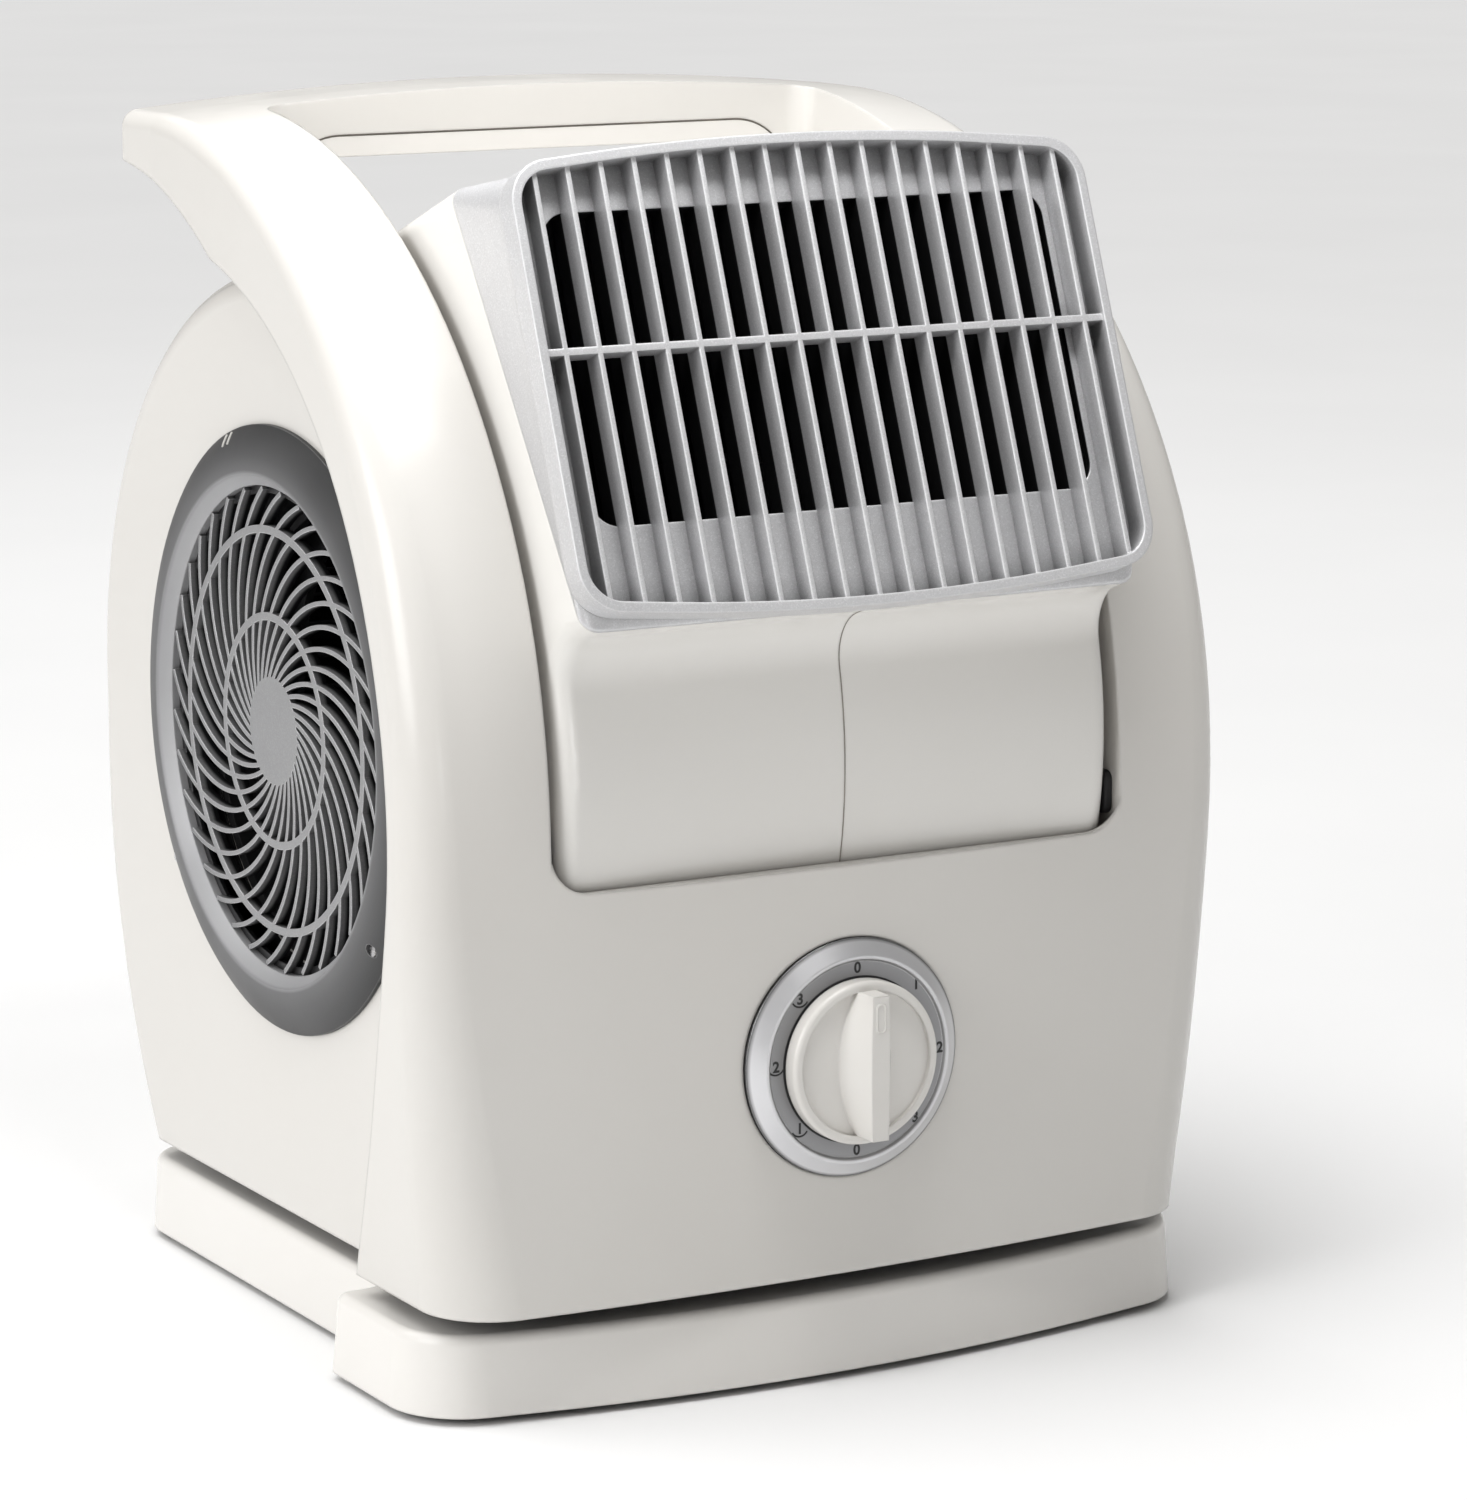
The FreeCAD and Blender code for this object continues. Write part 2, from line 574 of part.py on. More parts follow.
def build_drive():
    """The gear motor that swings the body: its crank pin runs in the slot of the base."""
    motor = new_body("swivel_motor", y="sizes.crank_distance", z=FLOOR_TOP_TEXT)
    can = circles(motor, "drive_can", "XY_Plane", ["sizes.drive_motor_radius"])
    pad(motor, can, "sizes.drive_motor_height")
    half = "(sizes.drive_motor_radius + 7)"
    ears = polygon(motor, "drive_ears", "XY_Plane",
                   [("-" + half, "-6"), (half, "-6"), (half, "6"), ("-" + half, "6")])
    pad(motor, ears, "1.5")
    bore = circles(motor, "drive_bore", "XY_Plane", ["sizes.drive_shaft_radius + sizes.spindle_clearance"])
    pocket(motor, bore, "sizes.drive_motor_height - 2", reverse=True)

    shaft_top = FLOOR_TOP_TEXT + " + sizes.drive_motor_height - 4"
    arm_z = "sizes.base_top_height + (sizes.body_gap - sizes.crank_arm_thickness) / 2"
    group("crank_shaft", [cylinder("drive_shaft", "sizes.drive_shaft_radius",
                                   shaft_top + " - (" + arm_z + ")", y="sizes.crank_distance", z=arm_z)])

    arm = new_body("crank_arm", y="sizes.crank_distance", z=arm_z)
    half = "sizes.crank_arm_width / 2"
    bar = polygon(arm, "crank_bar", "XY_Plane",
                  [("-" + half, "0"), (half, "0"), (half, "sizes.crank_throw"), ("-" + half, "sizes.crank_throw")])
    pad(arm, bar, "sizes.crank_arm_thickness")
    for name, along in (("crank_eye", "0"), ("crank_end", "sizes.crank_throw")):
        pad(arm, circles(arm, name, "XY_Plane", [half], along=along), "sizes.crank_arm_thickness")
    hole = circles(arm, "crank_hole", "XY_Plane", ["sizes.drive_shaft_radius"])
    pocket(arm, hole, "sizes.crank_arm_thickness", reverse=True)
    pin = circles(arm, "crank_pin", "XY_Plane", ["sizes.crank_pin_radius"], along="sizes.crank_throw")
    pad(arm, pin, "(sizes.body_gap - sizes.crank_arm_thickness) / 2 + sizes.base_wall + 1", reverse=True)


# Arch, handle and front panel

def arch_section(turn, inset=0.0, run=0.0):
    """One section across the arch, shrunk by the inset. The turn is -1 at the foot, 0 where the arch starts
    to curve back and 1 at its top, and the run goes on level from there."""
    widest = size.overall_width / 2
    shoulder_corner = (size.arch_foot_corner + size.handle_corner) / 2
    if turn < 0:
        swell = math.cos(math.radians(-90 * turn))
        half = size.arch_foot_width / 2 + (widest - size.arch_foot_width / 2) * swell
        ease = (-turn) ** 1.5
        depth = size.arch_shoulder_depth + (size.arch_foot_depth - size.arch_shoulder_depth) * ease
        corner = shoulder_corner + (size.arch_foot_corner - shoulder_corner) * -turn
    else:
        shrink = 1 - math.cos(math.radians(90 * turn))
        half = widest - (widest - size.handle_width / 2) * shrink
        ease = turn ** 3 * (4 - 3 * turn)
        depth = size.arch_shoulder_depth + (size.handle_depth - size.arch_shoulder_depth) * ease
        corner = shoulder_corner + (size.handle_corner - shoulder_corner) * turn
    angle = math.radians(90 * max(turn, 0.0))
    height = ARCH_Z + (ARCH_Z - BODY_Z) * min(turn, 0.0)

    def place(across, into):
        reach = size.arch_radius - into
        return vector(across, ARCH_Y + run - reach * math.cos(angle), height + reach * math.sin(angle))

    half -= inset
    depth -= inset
    corner = max(corner - inset, 0.5)
    bow = size.arch_bow_radius - inset
    centre = half - corner
    sunk = bow - math.sqrt((bow - corner) ** 2 - centre ** 2)
    touch_x = centre * bow / (bow - corner)
    touch = bow - (bow - sunk) * bow / (bow - corner)
    bend = math.atan2(bow - sunk, centre) / 2
    mid_x = centre + corner * math.cos(bend)
    mid = sunk - corner * math.sin(bend)
    right = [(touch_x, touch), (mid_x, mid), (half, sunk), (half, depth - inset)]
    points = [(x, into + inset) for x, into in right]
    mirrored = [(-x, into) for x, into in points]
    edges = [
        Part.Arc(place(*mirrored[0]), place(0.0, inset), place(*points[0])).toShape(),
        Part.Arc(place(*points[0]), place(*points[1]), place(*points[2])).toShape(),
        Part.LineSegment(place(*points[2]), place(*points[3])).toShape(),
        Part.LineSegment(place(*points[3]), place(*mirrored[3])).toShape(),
        Part.LineSegment(place(*mirrored[3]), place(*mirrored[2])).toShape(),
        Part.Arc(place(*mirrored[2]), place(*mirrored[1]), place(*mirrored[0])).toShape(),
    ]
    return Part.Wire(edges)


def arch_solid():
    """The whole arch before its window is cut: one smooth moulding from foot to handle, with a rounded end."""
    upright = [-1.0, -0.75, -0.5, -0.25, 0.0]
    curved = [0.15, 0.3, 0.45, 0.6, 0.75, 0.9, 1.0]
    moulding = Part.makeLoft([arch_section(turn) for turn in upright + curved], True, False)
    flat = size.handle_run - size.handle_end_round
    level = Part.makeLoft([arch_section(1.0), arch_section(1.0, run=flat)], True, True)
    sections = []
    for degrees in (0.0, 30.0, 60.0, 85.0):
        angle = math.radians(degrees)
        shrink = size.handle_end_round * (1 - math.cos(angle))
        sections.append(arch_section(1.0, shrink, flat + size.handle_end_round * math.sin(angle)))
    return moulding.fuse([level, Part.makeLoft(sections, True, False)]).cut(under_arms())


def under_arms():
    """What is cut away under the arms: from the rear end of the handle their underside curves down and forward."""
    rear = ARCH_Y + size.handle_run
    slope = math.radians(size.underside_slope)
    radius = size.underside_radius
    centre_y = rear + radius * math.sin(slope)
    centre_z = size.overall_height - size.handle_end_depth - radius * math.cos(slope)

    def on_curve(angle):
        return vector(-FAR, centre_y - radius * math.sin(angle), centre_z + radius * math.cos(angle))

    last = math.radians(45.0)
    behind = vector(-FAR, rear + radius * math.sin(slope), on_curve(last).z)
    outline = Part.Wire([
        Part.Arc(on_curve(0.0), on_curve(last / 2), on_curve(last)).toShape(),
        Part.LineSegment(on_curve(last), behind).toShape(),
        Part.LineSegment(behind, on_curve(0.0)).toShape(),
    ])
    return prism(outline, X_AXIS * (2 * FAR))


def window_tool():
    """Everything between the arms: up from the sill, and back to the front face of the handle."""
    sill = size.window_sill_height
    face = [(-HALF_WINDOW, sill, size.window_corner), (HALF_WINDOW, sill, size.window_corner),
            (HALF_WINDOW, FAR, 0.0), (-HALF_WINDOW, FAR, 0.0)]
    near_handle = size.handle_front - size.handle_inner_corner
    front = prism(rounded_outline(face, lambda x, z: vector(x, -FAR, z)), Y_AXIS * (FAR + near_handle))
    top = [(-HALF_WINDOW, -FAR, 0.0), (HALF_WINDOW, -FAR, 0.0),
           (HALF_WINDOW, size.handle_front, size.handle_inner_corner),
           (-HALF_WINDOW, size.handle_front, size.handle_inner_corner)]
    above = prism(rounded_outline(top, plan(sill + size.window_corner)), Z_AXIS * FAR)
    return front.fuse(above)


def drum_sweep(radius, half_width):
    return rod(radius, vector(-half_width, FAN_Y, FAN_Z), X_AXIS, 2 * half_width)


def under_handle(raise_by, side_gap, corner):
    """Everything behind the window's front that lies under the handle bar, or under a line above its edge."""
    half = HALF_WINDOW - side_gap
    top = size.overall_height - size.bar_height + raise_by
    face = [(-half, 0.0, 0.0), (half, 0.0, 0.0), (half, top, corner), (-half, top, corner)]
    return prism(rounded_outline(face, lambda x, z: vector(x, 0.0, z)), Y_AXIS * FAR)


def build_arch():
    arch = arch_solid()
    sill_top = size.window_sill_height - size.wall

    low = -1.0
    high = (sill_top - ARCH_Z) / (ARCH_Z - BODY_Z)
    steps = [low + (high - low) * i / 3 for i in range(4)]
    cavity = Part.makeLoft([arch_section(turn, size.wall) for turn in steps], True, False)
    below = prism(arch_section(low, size.wall), Z_AXIS * -FAR)
    inside = HALF_BARREL - size.wall
    way_back = block(-inside, inside, FRONT_Y + 3 * size.wall + size.arch_foot_corner, 0.0, 0.0, sill_top)
    shell = arch.cut([cavity, way_back, below])
    finger_gap = under_handle(0.0, 0.0, size.bar_corner)
    shell = shell.cut([window_tool(), finger_gap])
    shell = shell.cut(drum_sweep(DRUM_FRONT_RADIUS + size.sill_gap, HALF_WINDOW))

    grip_shape = under_handle(size.grip_height, size.grip_side_gap, size.grip_corner)
    grip = arch.common(grip_shape).cut([window_tool(), finger_gap])
    shell = shell.cut(grip_shape)

    dial = vector(0, 0, size.dial_height)
    seat = rod(size.bezel_radius + size.fit_gap, dial + Y_AXIS * (FRONT_Y - 10), Y_AXIS, 10 + size.bezel_seat)
    neck = rod(size.switch_neck_radius + size.fit_gap, dial - Y_AXIS * FAR, Y_AXIS, FAR)
    feature("front_shell", shell.cut([seat, neck]))
    feature("handle_grip", grip)
    return arch


# Barrel behind the arch

def barrel_outline(inset, x):
    """The body behind the arch in side view: round over the top, upright at the back, tucked in below."""
    radius = size.barrel_radius - inset
    back = FAN_Y + radius
    straight_end = FAN_Z - size.barrel_straight
    lower = size.barrel_lower_radius - inset
    bottom = BODY_Z
    drop = straight_end - bottom
    tuck = lower - math.sqrt(lower * lower - drop * drop)
    half_drop = drop / 2
    half_tuck = lower - math.sqrt(lower * lower - half_drop * half_drop)
    front = FRONT_Y + size.arch_shoulder_depth - inset
    top_angle = math.acos((front - FAN_Y) / radius)

    def place(y, z):
        return vector(x, y, z)

    def on_circle(angle):
        return place(FAN_Y + radius * math.cos(angle), FAN_Z + radius * math.sin(angle))

    edges = [
        Part.Arc(on_circle(top_angle), on_circle(top_angle / 2), on_circle(0.0)).toShape(),
        Part.LineSegment(place(back, FAN_Z), place(back, straight_end)).toShape(),
        Part.Arc(place(back, straight_end), place(back - half_tuck, straight_end - half_drop),
                 place(back - tuck, bottom)).toShape(),
        Part.LineSegment(place(back - tuck, bottom), place(front, bottom)).toShape(),
        Part.LineSegment(place(front, bottom), on_circle(top_angle)).toShape(),
    ]
    return Part.Wire(edges)


def barrel_prism(inset, start, end):
    return prism(barrel_outline(inset, start), X_AXIS * (end - start))


def build_barrel(arch):
    outer = barrel_prism(0.0, -HALF_BARREL, HALF_BARREL)
    side_edges = []
    for edge in outer.Edges:
        box = edge.BoundBox
        on_side = box.XLength < 0.01
        upright_front = box.YMax < FRONT_Y + size.arch_shoulder_depth + 1
        at_bottom = box.ZMax < BODY_Z + 0.01
        if on_side and not upright_front and not at_bottom:
            side_edges.append(edge)
    outer = outer.makeFillet(size.barrel_edge_round, side_edges)
    within = 0.75 * size.arch_shoulder_depth
    behind = rod(size.arch_radius - within, vector(-FAR, ARCH_Y, ARCH_Z), X_AXIS, 2 * FAR)
    behind = behind.fuse(block(-FAR, FAR, FRONT_Y + within, FAR, 0, ARCH_Z))
    outer = outer.common(behind).cut(arch)

    inside = HALF_BARREL - size.wall
    inner_wall = HALF_BAY + size.cheek_wall
    hollows = [barrel_prism(size.wall, -HALF_BAY, HALF_BAY)]
    for start, end in ((-inside, -inner_wall), (inner_wall, inside)):
        hollows.append(barrel_prism(size.wall, start, end))
    slot_angle = math.radians(size.barrel_slot_angle)
    slot_edge = FAN_Y + size.barrel_radius * math.sin(slot_angle)
    slot = block(-HALF_BAY, HALF_BAY, -FAR, slot_edge, FAN_Z, FAR)
    shell = outer.cut(hollows)
    shell = shell.cut(slot)

    collar = size.trunnion_radius + size.trunnion_clearance
    for side in (-1, 1):
        start = vector(side * HALF_BAY, FAN_Y, FAN_Z)
        ring = rod(collar + size.ring_wall, start, X_AXIS * side, size.trunnion_length - size.drum_bay_gap)
        shell = shell.fuse(ring)
        shell = shell.cut(rod(collar, start - X_AXIS * side, X_AXIS * side, size.trunnion_length + 2))
        shell = shell.cut(rod(size.intake_bore, vector(side * (inside - 1), FAN_Y, FAN_Z), X_AXIS * side, FAR))
    floor_way = prism(floor_outline(-size.fit_gap, BODY_Z - 1), Z_AXIS * (size.floor_thickness + 1))
    shell = shell.cut(floor_way)
    place, outward = gland_place()
    shell = shell.cut(rod(size.gland_radius, place - outward * 10, outward, FAR))
    feature("rear_housing", shell)


def gland_place():
    """The cord inlet's place on the lower back, and the way out of the body there."""
    centre_y = FAN_Y + size.barrel_radius - size.barrel_lower_radius
    centre_z = FAN_Z - size.barrel_straight
    drop = centre_z - size.gland_height
    reach = math.sqrt(size.barrel_lower_radius ** 2 - drop ** 2)
    outward = vector(0, reach, -drop)
    outward.normalize()
    return vector(0.6 * HALF_BAY, centre_y + reach, size.gland_height), outward


def floor_outline(inset, height):
    """The floor plate, which drops into the front shell and the barrel."""
    front = size.arch_foot_width / 2 - size.wall - size.fit_gap - inset
    rear = HALF_BARREL - size.wall - size.fit_gap - inset
    nose = FRONT_Y + size.wall + size.fit_gap + inset
    bow = front * front / (2 * size.arch_bow_radius)
    step = FRONT_Y + size.arch_foot_depth - size.wall - size.fit_gap - inset - 1
    drop = FAN_Z - size.barrel_straight - BODY_Z
    tuck = size.barrel_lower_radius - math.sqrt(size.barrel_lower_radius ** 2 - drop ** 2)
    back = FAN_Y + size.barrel_radius - tuck - size.wall - size.fit_gap - inset - 1
    corner = size.arch_foot_corner
    crest, bow_radius = shallow_bow(front, bow)
    right = [(front, nose + bow, corner), (front, step, 3.0), (rear, step, 3.0), (rear, back, 6.0)]
    left = [(-x, y, radius) for x, y, radius in reversed(right)]
    return rounded_outline([(0.0, nose + bow - crest, bow_radius)] + right + left, plan(height))


def build_floor():
    plate = prism(floor_outline(0.0, BODY_Z), Z_AXIS * size.floor_thickness)
    bottom = size.base_top_height - size.sleeve_depth - size.swivel_clearance
    post = rod(size.swivel_post_radius, vector(0, 0, bottom), Z_AXIS, FLOOR_TOP - bottom)
    plate = plate.fuse(post).removeSplitter()
    plate = plate.cut(rod(size.swivel_post_radius - size.swivel_post_wall, vector(0, 0, 0), Z_AXIS, FAR))
    shaft_hole = size.drive_shaft_radius + size.swivel_clearance
    plate = plate.cut(rod(shaft_hole, vector(0, size.crank_distance, 0), Z_AXIS, FAR))
    feature("body_floor", plate)


# Tilting drum

LEAN = math.radians(size.duct_lean)
ALONG = vector(0, -math.cos(LEAN), math.sin(LEAN))
UPWARD = vector(0, math.sin(LEAN), math.cos(LEAN))
FAN_CENTRE = vector(0, FAN_Y, FAN_Z)
LOWEST = size.nozzle_middle - size.nozzle_height / 2
LIP_FRONT = (size.overall_depth - size.barrel_radius + LOWEST * math.sin(LEAN)) / math.cos(LEAN)
LIP_BACK = LIP_FRONT - size.lip_depth


def in_duct(across, along, upward):
    """A place from its distances across the fan, along the outlet and square to the outlet."""
    return FAN_CENTRE + X_AXIS * across + ALONG * along + UPWARD * upward


def duct_end(upward):
    """Where the drum ends and the shroud begins, which is further forward at the bottom."""
    share = (upward + size.duct_floor) / (DRUM_RADIUS + size.duct_floor)
    top = LIP_BACK - size.shroud_top_depth
    bottom = LIP_BACK - size.shroud_bottom_depth
    return bottom + (top - bottom) * share


def rounded_disc(radius, width, rounding):
    """A disc on the fan axis, from the middle outward to +X, with a rounded outer edge."""
    disc = rod(radius, FAN_CENTRE, X_AXIS, width)
    if rounding == 0:
        return disc
    rim = [edge for edge in disc.Edges if edge.BoundBox.XMin > width - 0.01]
    return disc.makeFillet(rounding, rim)


def drum_blank(inset, rounding, run_out):
    """The right half of the drum as a solid: a barrel, the duct that leaves it, and the skirt below the duct,
    which fills the window as the drum tilts."""
    width = HALF_DRUM - inset
    barrel = rounded_disc(DRUM_RADIUS - inset, width, rounding)

    top = DRUM_RADIUS - inset
    floor = -size.duct_floor + inset
    side = [(0.0, top), (duct_end(top) + run_out, top), (duct_end(floor) + run_out, floor), (0.0, floor)]
    duct = prism(Part.makePolygon([in_duct(0.0, *place) for place in side + side[:1]]), X_AXIS * width)
    if rounding > 0:
        edges = []
        for edge in duct.Edges:
            at_end = edge.BoundBox.XMin > width - 0.01
            level = abs(edge.tangentAt(edge.FirstParameter).dot(UPWARD)) < 0.01
            if at_end and level:
                edges.append(edge)
        duct = duct.makeFillet(rounding, edges)

    low = -math.radians(size.drum_skirt_angle) + inset / DRUM_FRONT_RADIUS
    wedge = [FAN_CENTRE]
    for angle in (low, LEAN):
        wedge.append(FAN_CENTRE + vector(0, -math.cos(angle), math.sin(angle)) * FAR)
    skirt = rounded_disc(DRUM_FRONT_RADIUS - inset, width, rounding)
    skirt = skirt.common(prism(Part.makePolygon(wedge + wedge[:1]), X_AXIS * width))
    solids = [duct, skirt]
    if rounding > 0:
        solids.append(duct_root(width, rounding))
    return barrel.fuse(solids)


def duct_root(width, rounding):
    """The hollow curve that leads from the front of the drum into the lower wall of the outlet."""
    curve = size.duct_fillet
    centre_n = -size.duct_floor - curve
    centre_a = math.sqrt((DRUM_FRONT_RADIUS + curve) ** 2 - centre_n ** 2)
    turn = math.atan2(centre_n, centre_a)
    deep = DRUM_FRONT_RADIUS - 3 * rounding
    on_drum = (DRUM_FRONT_RADIUS * math.cos(turn), DRUM_FRONT_RADIUS * math.sin(turn))
    on_floor = (centre_a, -size.duct_floor)
    between = (turn + math.pi + math.pi / 2) / 2
    middle = (centre_a + curve * math.cos(between), centre_n + curve * math.sin(between))
    inside = [(centre_a, 2 * rounding), (deep, 2 * rounding), (deep * math.cos(turn), deep * math.sin(turn))]
    line = [on_floor] + inside + [on_drum]
    arc = Part.Arc(*[in_duct(0.0, *place) for place in (on_drum, middle, on_floor)]).toShape()
    edges = [arc]
    for start, end in zip(line, line[1:]):
        edges.append(Part.LineSegment(in_duct(0.0, *start), in_duct(0.0, *end)).toShape())
    root = prism(Part.Wire(edges), X_AXIS * width)
    rim = []
    for edge in root.Edges:
        box = edge.BoundBox
        if box.XMin > width - 0.01 and edge.Curve.TypeId == "Part::GeomCircle":
            rim.append(edge)
    return root.makeFillet(rounding, rim)


def build_drum():
    """The drum in two halves, which meet in the middle and carry the collars that it tilts on."""
    shell = drum_blank(0.0, size.drum_edge_round, 0.0).cut(drum_blank(size.drum_wall, 0.0, FAR / 10))
    start = FAN_CENTRE + X_AXIS * (HALF_DRUM - size.drum_wall / 2)
    collar = rod(size.trunnion_radius, start, X_AXIS, size.trunnion_length + size.drum_wall / 2)
    shell = shell.fuse(collar)
    shell = shell.cut(rod(size.inlet_radius, FAN_CENTRE, X_AXIS, FAR))
    bore = size.trunnion_radius - size.trunnion_wall
    shell = shell.cut(rod(bore, FAN_CENTRE + X_AXIS * HALF_DRUM, X_AXIS, FAR)).removeSplitter()
    feature("drum_right_half", shell)
    feature("drum_left_half", shell.mirror(vector(0, 0, 0), X_AXIS))


def lip_outline(inset, along):
    """The lip of the nozzle: straight sides, crowned above and below."""
    half = size.nozzle_width / 2 - inset
    rise = size.nozzle_height / 2 - size.nozzle_crown - inset
    corner = max(size.nozzle_corner - inset, 1.0)
    crest, bow_radius = shallow_bow(half, size.nozzle_crown)
    top = [(half, rise, corner), (0.0, rise + crest, bow_radius), (-half, rise, corner)]
    low = [(-x, -y, radius) for x, y, radius in top]

    def place(across, upward):
        return in_duct(across, along, size.nozzle_middle + upward)

    return rounded_outline(top + low, place)


def shroud_rear(inset):
    """The rear edge of the shroud, which lies on the slanted end of the drum."""
    half = HALF_DRUM - inset
    corner = size.drum_edge_round
    top = DRUM_RADIUS - inset
    low = -size.duct_floor + inset
    crest, bow_radius = shallow_bow(half, 0.2)
    upper = [(half, top, corner), (0.0, top + crest, bow_radius), (-half, top, corner)]
    lower = [(-half, low, corner), (0.0, low - crest, bow_radius), (half, low, corner)]

    def place(across, upward):
        return in_duct(across, duct_end(upward), upward)

    return rounded_outline(upper + lower, place)


def outlet_outline(inset, place):
    """The opening in the plate behind the vanes, shrunk by the inset."""
    half = size.outlet_width / 2 - inset
    top = size.outlet_top - inset
    low = size.outlet_bottom - inset
    corner = size.outlet_corner
    return rounded_outline([(half, top, corner), (-half, top, corner), (-half, -low, corner),
                            (half, -low, corner)], place)


def vane_tails():
    """The vanes go on behind the plate where its opening lets them through."""
    start = LIP_BACK - size.flange_thickness - size.vane_tail

    def behind(across, upward):
        return in_duct(across, start, size.nozzle_middle + upward)

    room = prism(outlet_outline(size.fit_gap, behind), ALONG * (LIP_BACK - start))
    reach = room.BoundBox.XMax
    count = int(size.vane_count)
    tails = []
    for i in range(count):
        across = (i - (count - 1) / 2) * size.vane_pitch
        if abs(across) + size.vane_thickness < reach:
            bar = duct_block(across, size.vane_thickness, size.nozzle_height * 2, 0.0, LIP_BACK - start)
            bar.translate(ALONG * (start - LIP_BACK))
            tails.append(bar.common(room))
    return tails


def build_nozzle():
    outer = Part.makeLoft([shroud_rear(0.0), lip_outline(size.lip_wall / 2, LIP_BACK)], True, True)
    hollow = Part.makeLoft([shroud_rear(size.shroud_wall),
                            lip_outline(size.lip_wall / 2 + size.shroud_wall, LIP_BACK)], True, True)
    shroud = outer.cut(hollow)

    def on_flange(across, upward):
        return in_duct(across, LIP_BACK - size.flange_thickness, size.nozzle_middle + upward)

    hole = outlet_outline(0.0, on_flange)
    plate = prism(lip_outline(size.lip_wall / 2 + size.shroud_wall / 2, LIP_BACK - size.flange_thickness),
                  ALONG * size.flange_thickness)
    plate = plate.common(outer)
    shroud = shroud.fuse(plate)
    shroud = shroud.cut(prism(hole, ALONG * FAR))

    frame = prism(lip_outline(0.0, LIP_BACK), ALONG * size.lip_depth)
    opening = prism(lip_outline(size.lip_wall, LIP_BACK), ALONG * size.lip_depth)
    bars = []
    count = int(size.vane_count)
    for i in range(count):
        across = (i - (count - 1) / 2) * size.vane_pitch
        bars.append(duct_block(across, size.vane_thickness, size.nozzle_height * 2, 0.0, size.vane_depth))
    bars.append(duct_block(0.0, size.nozzle_width * 2, size.cross_bar_height, size.cross_bar_offset,
                           size.vane_depth))
    vanes = [bar.common(opening) for bar in bars]
    vanes += vane_tails()
    grille = frame.cut(opening).fuse(vanes).removeSplitter()

    heads = []
    last_vane = (count - 1) / 2 * size.vane_pitch + size.vane_thickness / 2
    lip_inside = size.nozzle_width / 2 - size.lip_wall
    share = 0.38 * (lip_inside - last_vane) / size.screw_head_radius
    for side in (-1, 1):
        across = side * (last_vane + lip_inside) / 2
        seat = in_duct(across, LIP_BACK, size.nozzle_middle + size.cross_bar_offset - 6.5)
        heads.append(screw(seat, ALONG * -1.0, size.flange_thickness + 4, share))
        shroud = shroud.cut(rod(share * size.screw_radius, seat, ALONG * -1.0, 10.0))
    feature("nozzle_shroud", shroud)
    feature("nozzle_grille", grille)
    feature("nozzle_screws", Part.makeCompound(heads))


def duct_block(across, width, height, upward, depth):
    """A bar on the plate of the nozzle, centred across and upward."""
    bar = Part.makeBox(width, height, depth, vector(-width / 2, -height / 2, 0))
    turn = FreeCAD.Rotation(X_AXIS, UPWARD, ALONG, "ZXY")
    place = in_duct(across, LIP_BACK, size.nozzle_middle + upward)
    bar.Placement = FreeCAD.Placement(place, turn)
    return bar


# Motor, wheels and intakes

